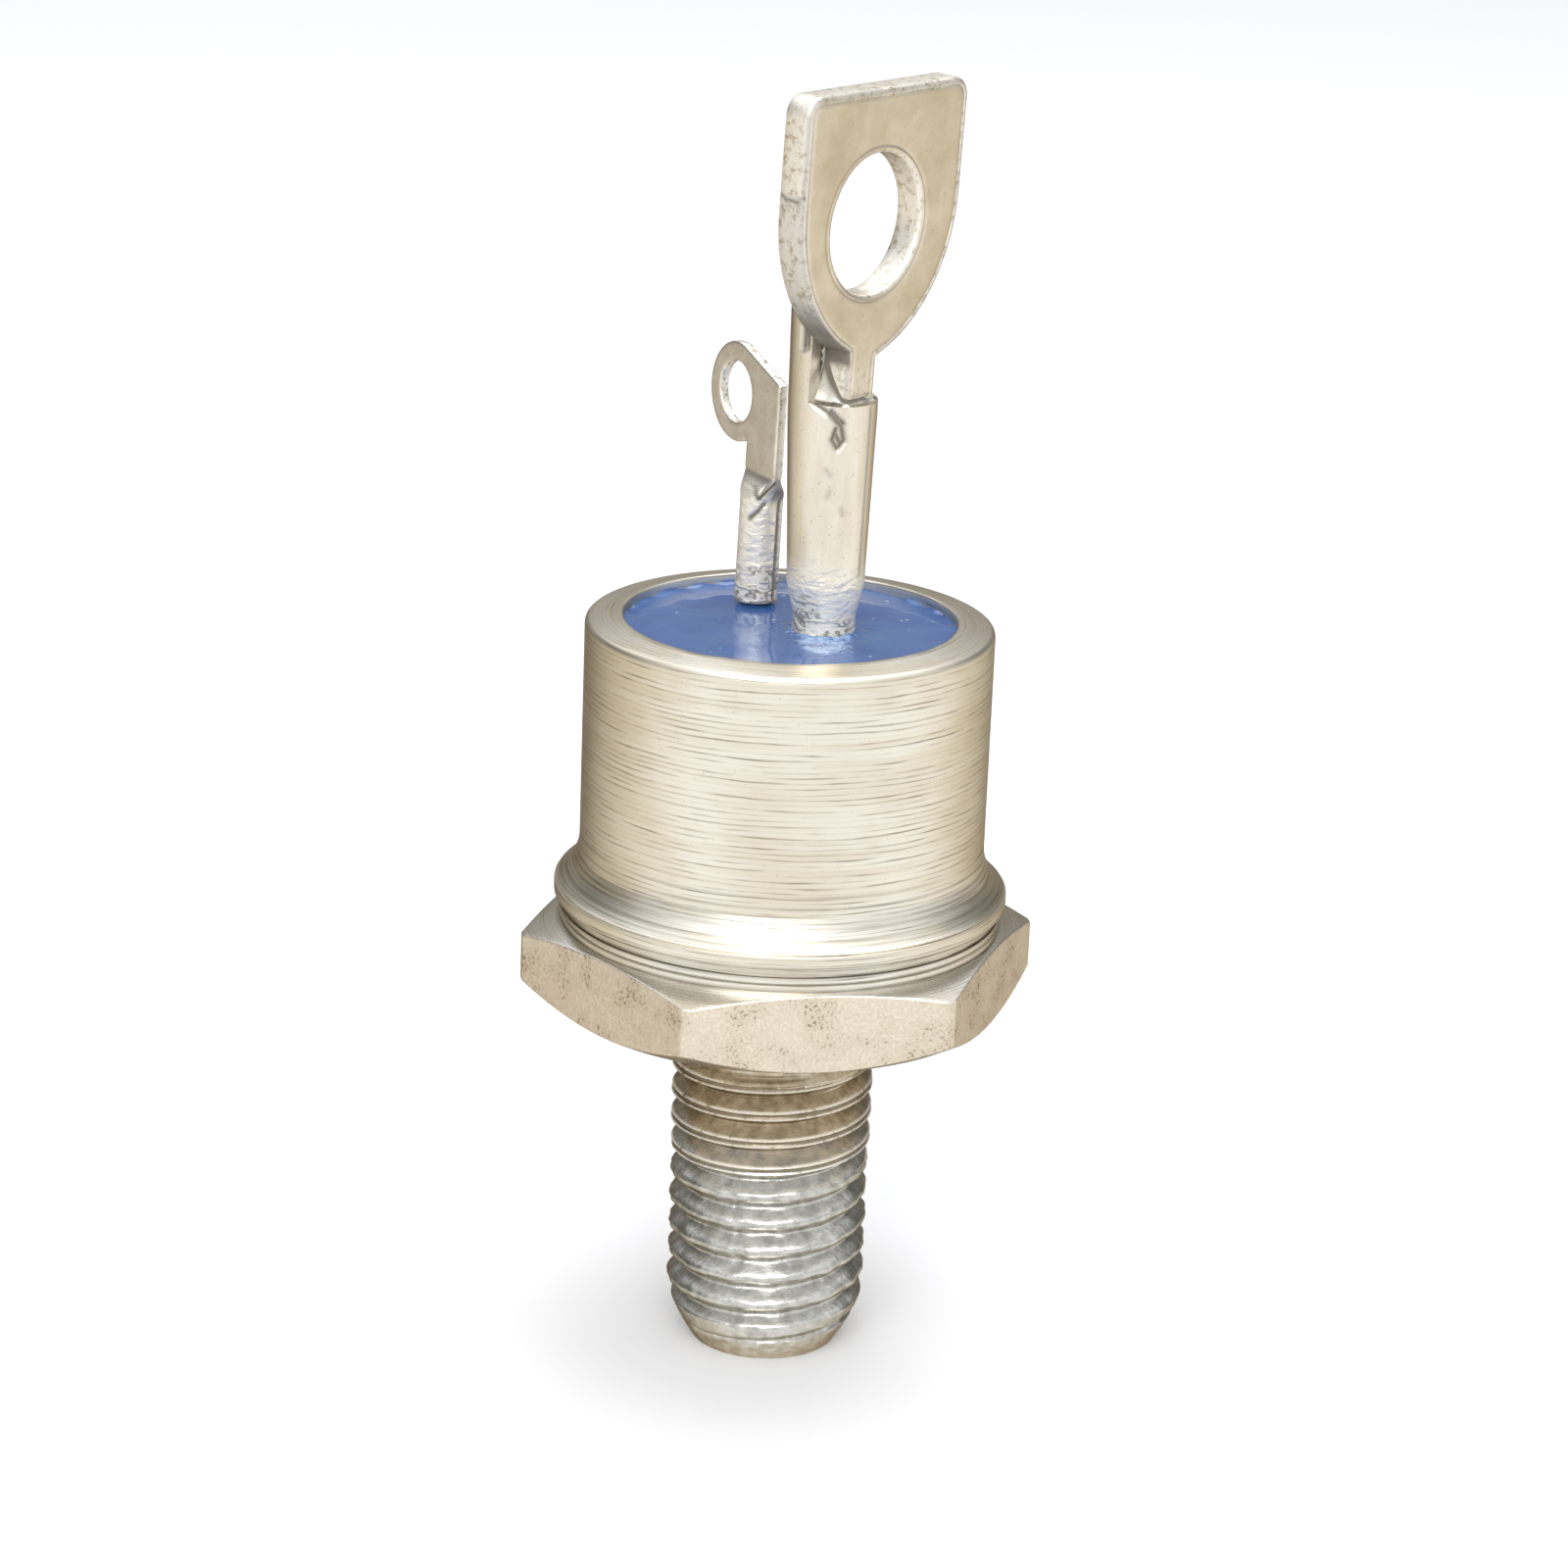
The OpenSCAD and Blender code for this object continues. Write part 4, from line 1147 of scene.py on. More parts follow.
def tube_profile(angle):
    """Closed section of the tube, seen from its own axis, over the glass."""
    opened = NOTCH_H - SOLDER_DEPTH
    end_bore = TUBE_BORE_R + TUBE_END_R - TUBE_R
    length = NOTCH_H + LAP_H
    outer = rounded([(FOOT_R, -GLASS_T - TUBE_TAIL), (FOOT_R, FOOT_H), (TUBE_R, FOOT_H + FOOT_CONE),
                     (TUBE_END_R, opened), (TUBE_END_R, length)], [0, 0.5, 0.8, 3.0, 0], 6)
    inner = [(end_bore, length), (end_bore, opened), (TUBE_BORE_R, FOOT_H + FOOT_CONE),
             (TUBE_BORE_R, -GLASS_T - TUBE_TAIL)]
    # Fine rows only where the marks are
    fine = refine(outer, MARKS_STEP)
    wall = [p for i, p in enumerate(fine) if MARKS_FROM < p[1] < MARKS_TO or i % 5 == 0]
    section = [(r - tube_sunk(angle, z), z) for r, z in wall] + refine(inner, 0.8)
    return section + section[:1]


def cut_away(piece, low, high, place):
    """Cuts a block between two corners out of a piece. The corners are in the frame of a place."""
    corners = [(x, y, z) for x in (low[0], high[0]) for y in (low[1], high[1]) for z in (low[2], high[2])]
    faces = [(0, 1, 3, 2), (4, 6, 7, 5), (0, 4, 5, 1), (2, 3, 7, 6), (0, 2, 6, 4), (1, 5, 7, 3)]
    combine(piece, new_object("block", [([place @ Vector(c) for c in corners], faces)]), "DIFFERENCE")


def build_tube():
    """The turned tube, cut to its half lap, with its cut edges broken."""
    rows = turn_profile(tube_profile, full_turn(TUBE_COLUMNS))
    tube = new_object("cathode_tube_drawn", [skin([[on_cathode @ Vector(p) for p in row] for row in rows])])
    cut_away(tube, (-FAR, -FAR, 0), (FAR, 0, FAR), on_tag)
    slope = on_tag @ Matrix.Translation((0, 0, LAP_H)) @ Matrix.Rotation(-LAP_SLOPE, 4, "X")
    cut_away(tube, (-FAR, -FAR, 0), (FAR, FAR, FAR), slope)
    soften = tube.modifiers.new("broken_edges", "BEVEL")
    soften.width = BROKEN_EDGE * MM
    soften.segments = 2
    soften.limit_method = "ANGLE"
    soften.angle_limit = math.radians(45)
    return tube


tube = build_tube()
settle(tube, "tinned_tube", "cathode_tube")

# %% [markdown]
# The creases are darkened, the marks a little less, and a painted dark reflection runs as a line down the
# tube's right side. The scale at the glass reaches up to where the tube is straight.

# %% Looks of the tube
# A line of painted dark reflection down the tube's right side, as length round and height
DARK_REFLECTION_RUN = ((1.16, 2.0), (1.16, 7.0))
DARK_REFLECTION_WIDTH = 0.065
TUBE_DARKENING_FROM = 1.5
# Strength of the darkening in the creases and the marks, and of the painted dark reflection
CREASE_DARKENING = 0.95
MARK_DARKENING = 0.4
DARK_REFLECTION_SHARE = 0.7
TUBE_SCALE = (1.1, 2.6)


def tube_crease(p):
    """Share of the darkening in the creases and marks, and of the painted dark reflection line, at a point of
    the tube.
    """
    local = on_cathode.inverted() @ p
    if not TUBE_DARKENING_FROM < local.z < MARKS_TO:
        return 0.0
    angle = math.atan2(local.y, local.x)
    return max(CREASE_DARKENING * crease(angle, local.z, FRONT, TUBE_R, TUBE_CREASES, CREASE_WIDTH),
               MARK_DARKENING * crease(angle, local.z, FRONT, TUBE_R, TUBE_MARKS, CREASE_WIDTH),
               DARK_REFLECTION_SHARE * crease(angle, local.z, FRONT, TUBE_R, (DARK_REFLECTION_RUN,), DARK_REFLECTION_WIDTH))


mark(tube, "crease", tube_crease)
mark(tube, "crinkle", lambda p: 1 - fade(p.z - GLASS_TOP, *TUBE_SCALE))
print("creases on the tube:", len(TUBE_CREASES), "and marks:", len(TUBE_MARKS))

# %% [markdown]
# ## Stamped tags
# A tag is stamped from sheet. The die rolls the upper edge over as it enters and shears the rest, so one
# side of each edge is round and the other nearly sharp, and the sheared band between them is bright. The
# die's step leaves a fine groove inside the rolled edge. A plate is therefore built from its outline, drawn
# in a little at each depth through the sheet.

# %% Plates
DIE_GROOVE_DEPTH = 0.025
# Extra points this far inside an edge keep marks along it narrow
EDGE_POINTS = 0.1


def inset(loop, amount):
    """A closed loop moved into the metal. The metal lies to the left of the loop's direction."""
    moved = []
    for i, point in enumerate(loop):
        before, after = Vector(loop[i - 1]), Vector(loop[(i + 1) % len(loop)])
        along = (after - before).normalized()
        moved.append((point[0] - along.y * amount, point[1] + along.x * amount))
    return moved


def inside_loop(point, loop):
    """Whether a point lies inside a closed loop."""
    inside = False
    for (x1, y1), (x2, y2) in zip(loop, loop[1:] + loop[:1]):
        if (y1 > point[1]) != (y2 > point[1]) and point[0] < (x2 - x1) * (point[1] - y1) / (y2 - y1) + x1:
            inside = not inside
    return inside


def in_metal(point, loops):
    """Whether a point lies inside the first loop and outside the second."""
    return inside_loop(point, loops[0]) and not inside_loop(point, loops[1])


def plate(outline, hole, thickness, roll, burr, groove, place, net):
    """Parts of a stamped plate. Its front has the rolled edge and lies at full thickness."""
    stations = [(0, burr), (burr * 0.3, burr * 0.3), (burr, 0), (thickness * 0.3, 0), (thickness * 0.55, 0),
                (thickness - roll, 0), (thickness - roll * 0.5, roll * 0.13),
                (thickness - roll * 0.2, roll * 0.4), (thickness, roll)]
    if groove:
        stations += [(thickness - DIE_GROOVE_DEPTH, roll + groove / 2), (thickness, roll + groove)]
    loops = [outline, hole]
    parts = []
    for loop in loops:
        rows = [[place @ Vector((u, -depth, v)) for u, v in inset(loop, drawn_in)]
                for depth, drawn_in in stations]
        parts.append(skin([row + row[:1] for row in rows]))
    low, high = ([reach(p[k] for p in outline) for k in (0, 1)] for reach in (min, max))
    for depth, drawn_in in (stations[0], stations[-1]):
        rims = [inset(loop, drawn_in) for loop in loops]
        keep = [inset(loop, drawn_in + 0.5 * net) for loop in loops]
        inner = [(low[0] + i * net, low[1] + j * net) for i in range(int((high[0] - low[0]) / net) + 1)
                 for j in range(int((high[1] - low[1]) / net) + 1)]
        inner = [p for p in inner if in_metal(p, keep)]
        inner += [p for loop in loops for p in inset(loop, drawn_in + EDGE_POINTS)]
        flat, faces = fill(rims, inner, lambda p: in_metal(p, rims))
        parts.append(([place @ Vector((u, -depth, v)) for u, v in flat], faces))
    return parts


print("the groove inside a plate's edge is", DIE_GROOVE_DEPTH, "mm deep")

# %% [markdown]
# The cathode tag is wide and square above its hole, and narrows below in two round sides to the tang. The
# hole lies a little off its middle, towards the tang.

# %% Build the cathode tag
TAG_W = 7.5
TAG_T = 0.9
TAG_ROLL = 0.16
TAG_BURR = 0.04
TAG_GROOVE = 0.12
TAG_NET = 0.45
TAG_MIDDLE = 0.38
TAG_HOLE = (0.16, 5.35)
TAG_HOLE_R = 2.1
TAG_SIDE_H = 5.9
TAG_TOP = 9.35
TAG_CORNER = 0.6
TAG_SIDE_R = 4.8
TANG_W = 1.38


def tag_outline():
    """Outline of the cathode tag, anticlockwise, from the foot of its tang."""
    half, side = TAG_W / 2, TANG_W / 2
    right_centre = (TAG_MIDDLE + half - TAG_SIDE_R, TAG_SIDE_H)
    left_centre = (TAG_MIDDLE - half + TAG_SIDE_R, TAG_SIDE_H)
    right_start = -math.degrees(math.acos((side - right_centre[0]) / TAG_SIDE_R))
    left_end = 180 + math.degrees(math.acos((left_centre[0] + side) / TAG_SIDE_R))
    corner_r = (TAG_MIDDLE + half - TAG_CORNER, TAG_TOP - TAG_CORNER)
    corner_l = (TAG_MIDDLE - half + TAG_CORNER, TAG_TOP - TAG_CORNER)
    loop = ([(-side, 0), (side, 0)] + arc(right_centre, TAG_SIDE_R, right_start, 0, 28)
            + arc(corner_r, TAG_CORNER, 0, 90, 10) + arc(corner_l, TAG_CORNER, 90, 180, 10)
            + arc(left_centre, TAG_SIDE_R, 180, left_end, 28) + [(-side, 0)])
    return refine(loop, 0.12)[:-1]


TAG_LOOP = tag_outline()
tag_hole = list(reversed(circle_points(TAG_HOLE, TAG_HOLE_R, 72)))
tag = new_object("cathode_tag_stamped",
                 plate(TAG_LOOP, tag_hole, TAG_T, TAG_ROLL, TAG_BURR, TAG_GROOVE, on_tag, TAG_NET))
settle(tag, "tinned_tag", "cathode_tag")

# %% [markdown]
# The tag's edge is bright where it was sheared, and its burr shines round the right of the front. On the left
# edge the punch tore the sheet only in the upper part, and a dark line ends the torn part. Below it the left
# edge, which faces down, carries painted shade, strongest at its foot, and painted shade runs along its
# rolled side. The die's groove holds a little dirt, and the tang is tinned.

# %% Looks of the cathode tag
# Height where the torn part of the left edge ends, and how far the line at its end bows
TORN_FROM = 6.5
TORN_BOW = 0.5
# Distances from the back and front faces within which a point counts as on the face
BACK_SKIN = 0.01
FRONT_SKIN = 0.03
TANG_TOP = 1.2
# Heights between which the painted shade on the lower left edge fades out, and its strength
LEFT_EDGE_SHADE = (2.2, 4.4)
LEFT_EDGE_SHADE_SHARE = 0.92


def edge_share(place, thickness):
    """Share of the sheared edge at a point: none on the two faces of a plate."""
    back = place.inverted()
    return lambda p: float(BACK_SKIN < -(back @ p).y < thickness - FRONT_SKIN)


tag_edge = edge_share(on_tag, TAG_T)


def on_rim(local):
    """Whether a point of the tag lies at its outline."""
    return min(math.dist((local.x, local.z), q) for q in TAG_LOOP) < TAG_ROLL + TAG_GROOVE - 0.01


def tag_bright(p):
    """Sheared edge, the burr round the right of the front, and the tinned tang."""
    local = on_tag.inverted() @ p
    front = float(-local.y > TAG_T - FRONT_SKIN)
    right = 0.4 + 0.6 * fade(local.x, TAG_MIDDLE - 2, TAG_MIDDLE + 1.5)
    burr = right * float(local.z > TANG_TOP and on_rim(local))
    return max(tag_edge(p), front * burr, front * 0.6 * (1 - fade(local.z, 0.7, 1.5)))


def tag_dirt_and_shade(p):
    """Dirt in the die's groove, and on the left edge a dark line where the tear ends, with painted shade
    below it, along the rolled side and most at the foot.
    """
    local = on_tag.inverted() @ p
    if TAG_T - DIE_GROOVE_DEPTH - 0.004 < -local.y < TAG_T - 0.01 and local.z > TANG_TOP:
        return 0.4 + 0.7 * noise.noise(local / 1.3)
    near_hole = math.dist((local.x, local.z), TAG_HOLE) < TAG_HOLE_R + 0.3
    if local.x > TAG_MIDDLE - 0.4 or near_hole or not tag_edge(p):
        return 0.0
    line = TORN_FROM - TORN_BOW * (0.25 - (-local.y / TAG_T - 0.5) ** 2)
    # A dark line where the tear ends, and painted shade under it
    soiled = max(0.9 * ridge(local.z, line, 0.1), 0.3 * (1 - fade(local.z, line - 0.1, line)))
    # Painted shade along the rolled side of the left edge
    rolled_side_shade = 0.45 * fade(-local.y, TAG_T - 0.17, TAG_T - 0.1)
    over_tang = fade(local.z, 1.0, 1.3)
    # Painted shade, strongest at the foot, where the edge faces down
    foot = LEFT_EDGE_SHADE_SHARE * (1 - fade(local.z, *LEFT_EDGE_SHADE)) * over_tang
    return max(soiled * over_tang, rolled_side_shade, foot)


mark(tag, "edge", tag_bright)
mark(tag, "crease", tag_dirt_and_shade)
print("points round the tag:", len(TAG_LOOP))

# %% [markdown]
# ## Solder round the tang
# The tang was dipped and soldered into the notch. The solder sank into the tube's bore behind it and left a
# slit beside the tang, darkened with painted shade. It climbed the tang's left side from its foot, so that
# its edge on the tang is a hollow curve, with painted shade along it. The solid under it is a plain filling.
# Here one body fills the bore with a front that sinks beside the tang, and a fillet runs round the foot, as
# high as the solder climbed there.

# %% Build the solder
BORE_R = TUBE_BORE_R + TUBE_END_R - TUBE_R + 0.03
BORE_STEPS = 40
BORE_ROWS = 44
BORE_FOOT = -0.1
SLIT_DEPTH = 0.42
FILLET = 0.2
FILLET_FOOT = -0.12
CLIMB = 1.5
# Where solder bridges the slit: height, half width and share
BRIDGES = ((1.35, 0.3, 0.8), (2.7, 0.5, 1.0))


def solder_front(x, z):
    """How far the solder in the bore lies behind the tag's back face."""
    beside = max(0.0, abs(x) - TANG_W / 2 + 0.08)
    wave = 0.5 + 0.5 * wander(x, z, 0.5, 1.0)
    filled = sum(share * ridge(z, height, width) for height, width, share in BRIDGES)
    return 0.01 + SLIT_DEPTH * min(1.0, beside / 0.08) * (1 - min(filled, 1.0)) * (0.6 + 0.4 * wave)


def bore_rows():
    """Closed loops of the solder in the bore, from the notch's floor to the top of the lap."""
    rows = []
    across = [-BORE_R + 2 * BORE_R * i / BORE_STEPS for i in range(BORE_STEPS + 1)]
    back = arc((0, TAG_OFF), BORE_R, 0, 180, BORE_STEPS)
    for j in range(BORE_ROWS + 1):
        z = BORE_FOOT + (LAP_H - 0.05) * j / BORE_ROWS
        front = [(x, min(solder_front(x, z), TAG_OFF + math.sqrt(max(BORE_R ** 2 - x ** 2, 0))))
                 for x in across]
        loop = front + back[1:-1]
        rows.append([on_tag @ Vector((x, y, z)) for x, y in loop + loop[:1]])
    return rows


def caps(rows):
    """Fans that close the first and the last loop of a grid."""
    fans = []
    for row in (rows[0], rows[-1]):
        rim = row[:-1]
        middle = sum(rim, Vector()) / len(rim)
        fans.append(([middle] + rim, [(0, i + 1, (i + 1) % len(rim) + 1) for i in range(len(rim))]))
    return fans


def held_in(point):
    """A point of the fillet, kept over the tube's wall."""
    x, y, z = point
    off_axis = math.hypot(x, y - TAG_OFF)
    scale = min(1.0, (TUBE_END_R - 0.04) / off_axis)
    return Vector((x * scale, TAG_OFF + (y - TAG_OFF) * scale, z))


def fillet_rows():
    """Closed sections of the fillet, along the tang's foot."""
    half = TANG_W / 2
    rows = []
    for u, v in refine([(-half, 0.02), (-half, -TAG_T), (half, -TAG_T), (half, 0.02)], 0.05):
        out = Vector((0, -1)) if abs(u) < half - 1e-6 else Vector((math.copysign(1, u), 0))
        lump = 0.85 + 0.4 * wander(u, v, 0.4, 3.0)
        back = (v + TAG_T) / TAG_T if u < -half + 0.01 else 0.0
        high, wide = FILLET * lump + CLIMB * back ** 1.6, FILLET * lump + 0.3 * back
        profile = [(-0.05, FILLET_FOOT), (-0.05, high)]
        profile += [(wide * (1 - math.cos(t)), high * (1 - math.sin(t)))
                    for t in (math.radians(10 * k) for k in range(10))]
        profile += [(wide, FILLET_FOOT)]
        loop = [on_tag @ held_in((u + out.x * r, v + out.y * r, z)) for r, z in profile]
        rows.append(loop + loop[:1])
    return rows


solder_parts = []
for rows in (bore_rows(), fillet_rows()):
    solder_parts += [skin(rows), *caps(rows)]
tang_solder = new_object("tang_solder", solder_parts)
settle(tang_solder, "solder", "tag_solder")


def solder_shade(p):
    """Painted shade along the solder's edge on the tang's left side and foot, and in the slit beside it."""
    local = on_tag.inverted() @ p
    if local.x > 0.25:
        return 0.0
    off_tang = max(-TANG_W / 2 - local.x, -TAG_T - local.y)
    # Painted shade in the slit beside the tang, and along the solder's edge
    slit_shade = 0.8 * fade(local.y, 0.12, 0.3) * float(local.z > 0)
    return max(0.9 * (1 - fade(off_tang, 0.02, 0.07)) * float(0.02 < local.z and local.y < 0.01), slit_shade)


mark(tang_solder, "crease", solder_shade)

# %% [markdown]
# ## The gate terminal
# The gate's tag is thin sheet, rolled to a barrel round its pin and pressed flat above. Its section goes
# from a circle to a flat strip, and a superellipse does both: its exponent grows while it flattens. The
# eye is a plate like the tag, joined on.

# %% Build the gate terminal
# How far it leans, the direction that it leans in, and where its flat strip faces
GATE_LEAN = math.radians(1.4)
GATE_LEAN_TO = math.radians(-11)
GATE_TURN = math.radians(-70)
GATE_COLUMNS = 144
BARREL_R = 0.66
BARREL_GAP = 0.02
BARREL_ROUND = 0.05
BARREL_H = 3.2
BARREL_ROWS = 36
PRESS_H = 0.85
PRESS_ROWS = 16
# Exponent of the flat strip's section, and how far the strip reaches into the eye's plate
STRIP_POWER = 7
STRIP_IN = 0.02
STRIP_REACH = 0.2
GATE_T = 0.3
GATE_ROLL = 0.07
GATE_BURR = 0.02
GATE_NET = 0.3
STRIP_W = 1.8
STRIP_CORNER = 0.75
EYE_OFF = 1.7
EYE_H = 3.0
EYE_HOLE_R = 0.95
EYE_R = 1.55
# The rolled sheet's seam, and the folds where the barrel was pressed flat
SEAM_AT = math.radians(31)
SEAM_HALF = 0.17
SEAM_DEPTH = 0.14
FOLDS_AT = math.radians(-31)
FOLDS = (((-0.38, 3.8), (-0.08, 3.35), (0.3, 3.9)), ((-0.36, 2.7), (-0.1, 2.95), (0.1, 3.2)))
FOLD_DEPTH = 0.05

on_gate = (Matrix.Translation((*GATE_AT, GLASS_TOP)) @ Matrix.Rotation(GATE_LEAN_TO, 4, "Z")
           @ Matrix.Rotation(GATE_LEAN, 4, "Y") @ Matrix.Rotation(GATE_TURN - GATE_LEAN_TO, 4, "Z"))
on_eye = on_gate @ Matrix.Translation((-EYE_OFF, GATE_T / 2, BARREL_H + EYE_H))


def section_point(angle, width, depth, power):
    """Point of a superellipse at an angle."""
    c, s = math.cos(angle), math.sin(angle)
    return (width * math.copysign(abs(c) ** (2 / power), c), depth * math.copysign(abs(s) ** (2 / power), s))


def pressed(point, angle, z):
    """A point of the barrel, moved in by the seam and the folds."""
    sunk = FOLD_DEPTH * crease(angle, z, FOLDS_AT, BARREL_R, FOLDS, FOLD_WIDTH)
    seam = ridge(turn_from(SEAM_AT, angle), 0, SEAM_HALF)
    sunk += SEAM_DEPTH * seam * (1 - fade(z, BARREL_H - 0.3, BARREL_H + 0.6))
    scale = 1 - min(sunk / math.hypot(*point), 0.5)
    return (point[0] * scale, point[1] * scale, z)


def barrel_rows(turn):
    """Rows of the barrel: up its bore, over its foot, up its outside and into the flat strip."""
    bore = PIN_R + 0.01
    foot = BARREL_GAP + BARREL_ROUND
    rows = [[(r * math.cos(a), r * math.sin(a), z) for a in turn]
            for r, z in ((0, BARREL_H - GATE_T), (bore, BARREL_H - GATE_T), (bore, BARREL_GAP),
                         (BARREL_R - 0.04, BARREL_GAP), (BARREL_R, foot))]
    for k in range(1, BARREL_ROWS + 1):
        z = foot + (BARREL_H - BARREL_GAP - BARREL_ROUND) * k / BARREL_ROWS
        rows.append([pressed(section_point(a, BARREL_R, BARREL_R, 2), a, z) for a in turn])
    for k in range(1, PRESS_ROWS + 1):
        t = k / PRESS_ROWS
        s = fade(t, 0, 1)
        width = BARREL_R + (STRIP_W / 2 - BARREL_R) * s
        depth = BARREL_R + (GATE_T / 2 - BARREL_R) * s
        power = 2 + (STRIP_POWER - 2) * s
        rows.append([pressed(section_point(a, width, depth, power), a, BARREL_H + PRESS_H * t) for a in turn])
    top = BARREL_H + PRESS_H + STRIP_REACH
    rows.append([(*section_point(a, STRIP_W / 2 - STRIP_IN, GATE_T / 2 - STRIP_IN, STRIP_POWER), top)
                 for a in turn])
    rows.append([(0, 0, top) for a in turn])
    return [[on_gate @ Vector(p) for p in row] for row in rows]


def gate_outline():
    """Outline of the eye and its strip, anticlockwise, round the middle of the eye."""
    right = EYE_OFF + STRIP_W / 2
    left = right - STRIP_W
    foot = PRESS_H - EYE_H
    corner = (right, STRIP_CORNER)
    touch = math.degrees(math.atan2(corner[1], corner[0]) + math.acos(EYE_R / math.hypot(*corner)))
    leave = 360 - math.degrees(math.acos(left / EYE_R))
    round_eye = arc((0, 0), EYE_R, touch, leave, 56)
    strip = rounded([(right, foot), corner, round_eye[0]], [0, 0.15, 0])
    return refine([(left, foot), (right, foot)] + strip[1:] + round_eye[1:] + [(left, foot)], 0.25)[:-1]


gate = new_object("gate_tag_rolled", [skin(barrel_rows(full_turn(GATE_COLUMNS)))])
eye_hole = list(reversed(circle_points((0, 0), EYE_HOLE_R, 56)))
eye_parts = plate(gate_outline(), eye_hole, GATE_T, GATE_ROLL, GATE_BURR, 0, on_eye, GATE_NET)
combine(gate, new_object("eye", eye_parts), "UNION")
settle(gate, "tinned_gate", "gate_terminal")

# %% [markdown]
# Painted shade darkens the seam and the underside of the pressed corner, and the folds are darker. The scale
# at the glass covers the barrel's foot, and thinner scale goes on up to where the barrel was pressed flat.

# %% Looks of the gate terminal
GATE_SCALE = (1.0, 2.6)
THIN_SCALE = 0.7
eye_edge = edge_share(on_eye, GATE_T)


def gate_crease(p):
    """Share of the darkening at a point of the barrel: painted shade in the seam and under the pressed
    corner, and the darker folds.
    """
    local = on_gate.inverted() @ p
    angle = math.atan2(local.y, local.x)
    # Painted shade in the seam
    off_seam = turn_from(SEAM_AT, angle) / SEAM_HALF
    seam = math.exp(-off_seam ** 4) * (1 - fade(local.z, BARREL_H, BARREL_H + 0.8))
    folds = crease(angle, local.z, FOLDS_AT, BARREL_R, FOLDS, FOLD_WIDTH)
    # Painted shade under the pressed corner, on the seam's side
    corner = 0.8 * ridge(local.z, BARREL_H + 0.35, 0.35) * float(-0.1 < angle < 1.1)
    flat_from = BARREL_H + PRESS_H
    return max(0.85 * seam, folds, corner) * (1 - fade(local.z, flat_from - 0.1, flat_from + 0.1))


def gate_scale(p):
    """Share of the scale at a point of the barrel."""
    height = p.z - GLASS_TOP
    return max(1 - fade(height, *GATE_SCALE), THIN_SCALE * (1 - fade(height, BARREL_H, BARREL_H + PRESS_H)))


mark(gate, "edge", lambda p: eye_edge(p) * float((on_gate.inverted() @ p).z > BARREL_H + PRESS_H + 0.05))
mark(gate, "crease", gate_crease)
mark(gate, "crinkle", gate_scale)
print("folds on the gate terminal:", len(FOLDS))

# %% [markdown]
# ## Solids that stay as they are
# The pin and everything inside the case keep the solids of the frame, which have their true form already.
# They only get the finish of their slot. The replaced solids get theirs too, so that none is left plain.

# %% Finishes of the carried pieces
slots = {part["node"]: part["material_slot"] for part in frame["record"]["subparts"]}
for name, node in nodes.items():
    node.data.materials.clear()
    node.data.materials.append(finishes[slots[name]])
print("carried over:", sorted(slots))

# %% [markdown]
# ## Floor, light and surroundings
# The photograph was lit softly from the front and above, with darker surroundings at the sides and behind.
# Metal shows its surroundings more than its own colour, so the world is a gradient by direction: a bright
# table that darkens to the back, walls that are dark behind, and a bright ceiling. A window high up behind
# the part lights the front of the rim. The floor stays out of the reflections, which keeps the metal from
# turning as white as the floor.

# %% Floor and lights
FLOOR_SIZE = 6.0
FLOOR_ROUGHNESS = 0.9
# The window is brighter than white paper
WINDOW_LIGHT = (1.45, 1.45, 1.5, 1.0)


def make_floor():
    """A plain pale floor under the stud's end."""
    half = FLOOR_SIZE / 2 / MM
    floor = new_object("floor", [skin([[(-half, y, 0), (half, y, 0)] for y in (-half, half)])])
    floor.location = (0, 0, STUD_END * MM)
    material, _, shader, _ = start_finish("pale_paper")
    feed(shader, {"Base Color": srgb("#f1f2f6"), "Roughness": FLOOR_ROUGHNESS, "Specular IOR Level": 0.0})
    floor.data.materials.append(material)
    floor.visible_glossy = False


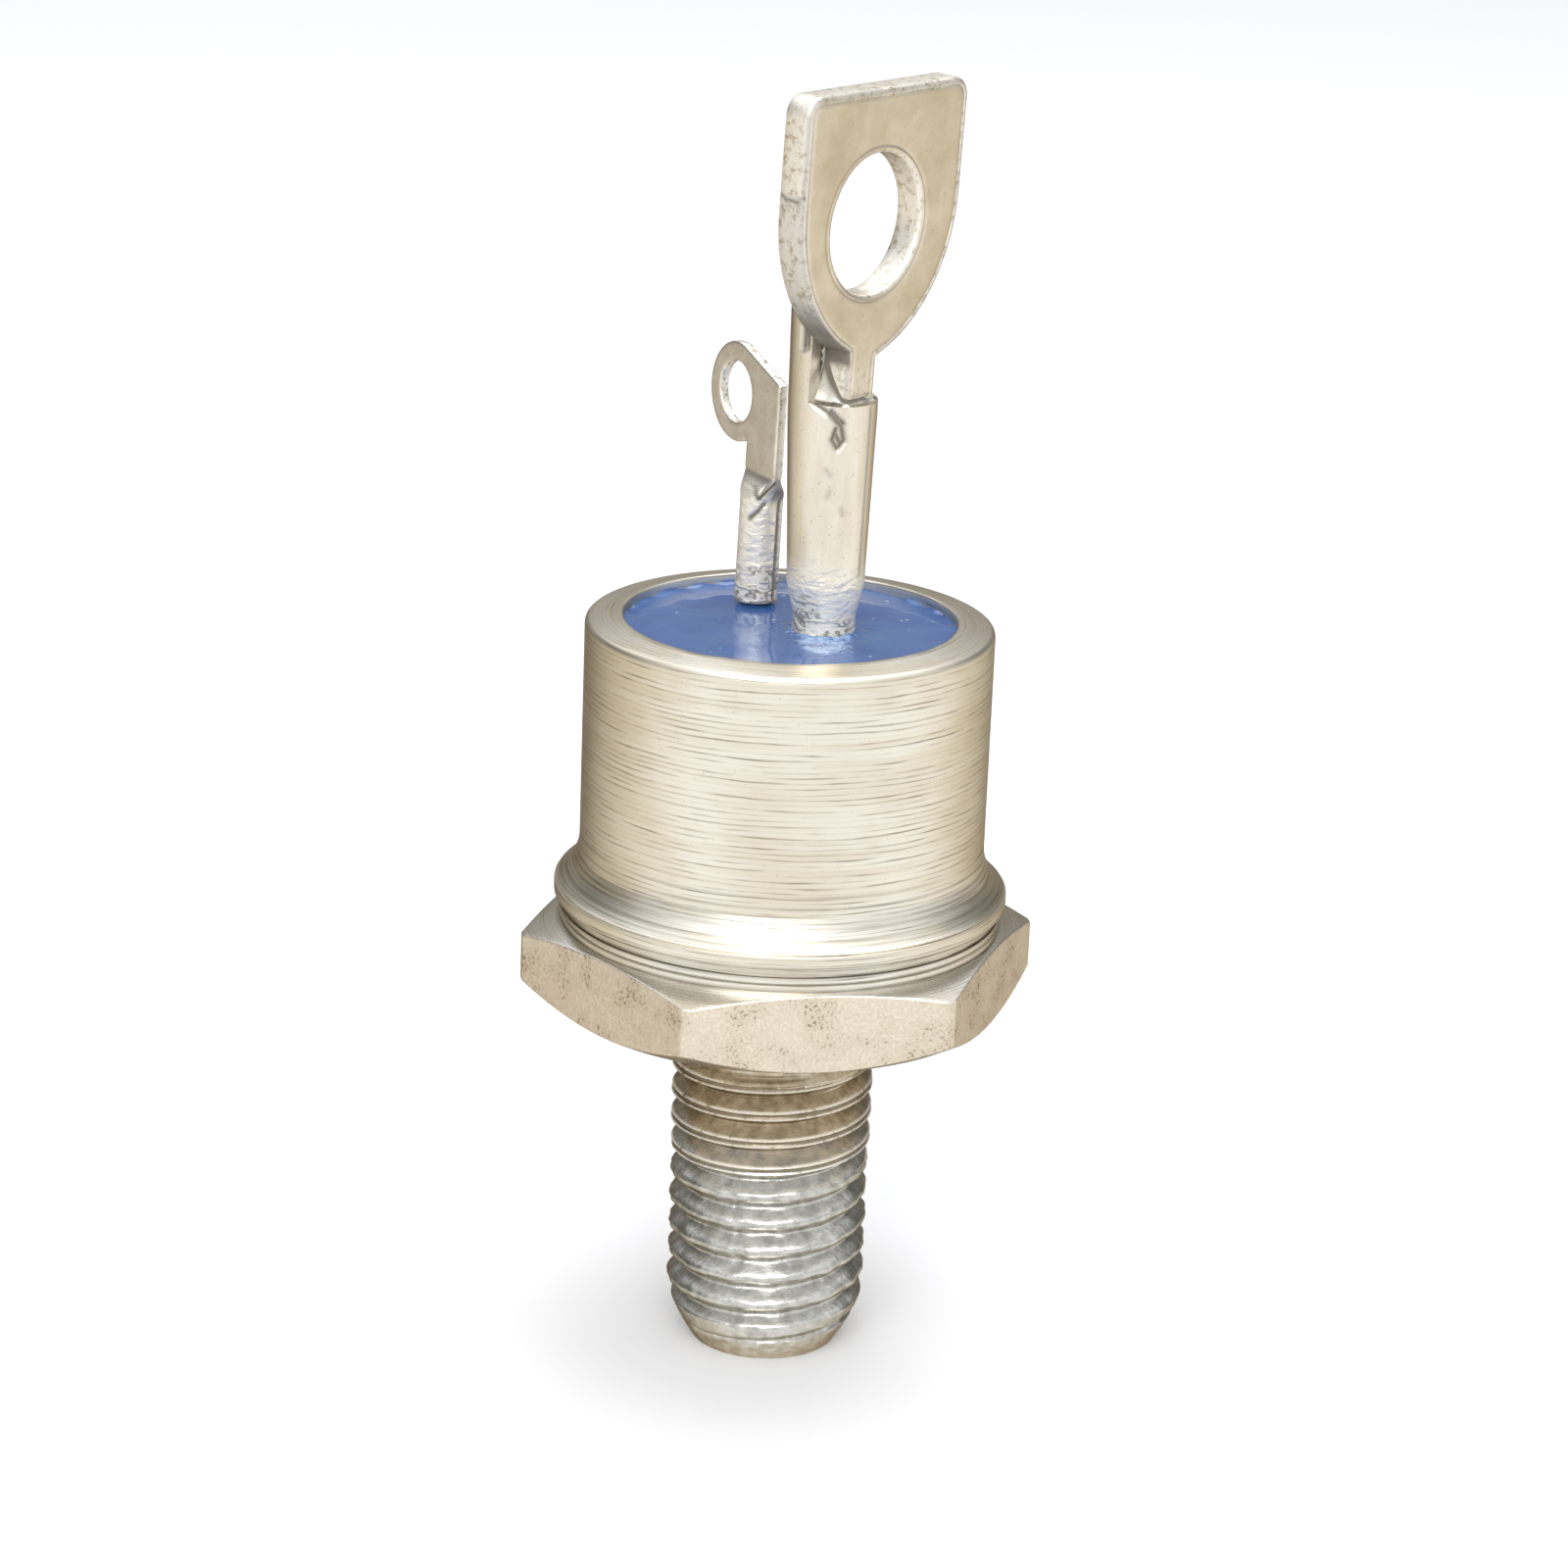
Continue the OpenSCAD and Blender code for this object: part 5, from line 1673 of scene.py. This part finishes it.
def soft_light(name, place, size, watts, colour):
    """A square soft box that shines at the middle of the part."""
    data = bpy.data.lights.new(name, "AREA")
    data.shape = "SQUARE"
    data.size = size
    data.energy = watts
    data.color = srgb(colour)[:3]
    lamp = bpy.data.objects.new(name, data)
    lamp.location = place
    aim = Vector((0, 0, 0.01)) - Vector(place)
    lamp.rotation_euler = aim.to_track_quat("-Z", "Y").to_euler()
    bpy.context.scene.collection.objects.link(lamp)


def make_world():
    """Surroundings by direction. Depth goes from 0 in front of the part to 1 behind it."""
    world = bpy.data.worlds.new("studio")
    world.use_nodes = True
    bpy.context.scene.world = world
    tree = world.node_tree
    direction = add(tree, "TexCoord", out="Generated")
    axes = add(tree, "SeparateXYZ", [direction]).node.outputs
    depth = add(tree, "MapRange", [axes["Y"], -1.0, 1.0])
    table = add(tree, "ValToRGB", [depth],
                ramp=[(0.0, srgb("#f6f3ec")), (0.25, srgb("#fffefa")), (0.45, srgb("#f6f0e4")),
                      (0.60, srgb("#e3d9c6")), (0.80, srgb("#c8bfad")), (0.95, srgb("#80776a"))])
    walls = add(tree, "ValToRGB", [depth],
                ramp=[(0.0, srgb("#f1f0ec")), (0.35, srgb("#e4e2dd")), (0.52, srgb("#bab8b4")),
                      (0.64, srgb("#716e68")), (0.82, srgb("#64625c")), (0.92, srgb("#88857e"))])
    over_table = add(tree, "MapRange", [axes["Z"], -0.08, 0.1], interpolation_type="SMOOTHSTEP")
    ceiling = add(tree, "MapRange", [axes["Z"], 0.5, 0.76], interpolation_type="SMOOTHSTEP")
    behind = add(tree, "MapRange", [depth, 0.78, 0.88])
    high = add(tree, "ValToRGB", [axes["Z"]],
               ramp=[(0.5, grey(0.0)), (0.58, grey(1.0)), (0.77, grey(1.0)), (0.85, grey(0.0))])
    window = add(tree, "Math", [behind, high], operation="MULTIPLY")
    colour = add(tree, "Mix", [over_table, table, walls], data_type="RGBA")
    colour = add(tree, "Mix", [ceiling, colour, srgb("#fdfdfc")], data_type="RGBA")
    colour = add(tree, "Mix", [window, colour, WINDOW_LIGHT], data_type="RGBA")
    feed(tree.nodes["Background"], {"Color": colour, "Strength": 1.0})


make_floor()
make_world()
soft_light("front_box", (-0.10, -0.32, 0.30), 0.28, 0.9, "#fffefc")
soft_light("top_box", (0.05, 0.05, 0.40), 0.30, 0.7, "#ffffff")
bpy.context.scene.view_settings.view_transform = "Standard"
print("lights and world ready")
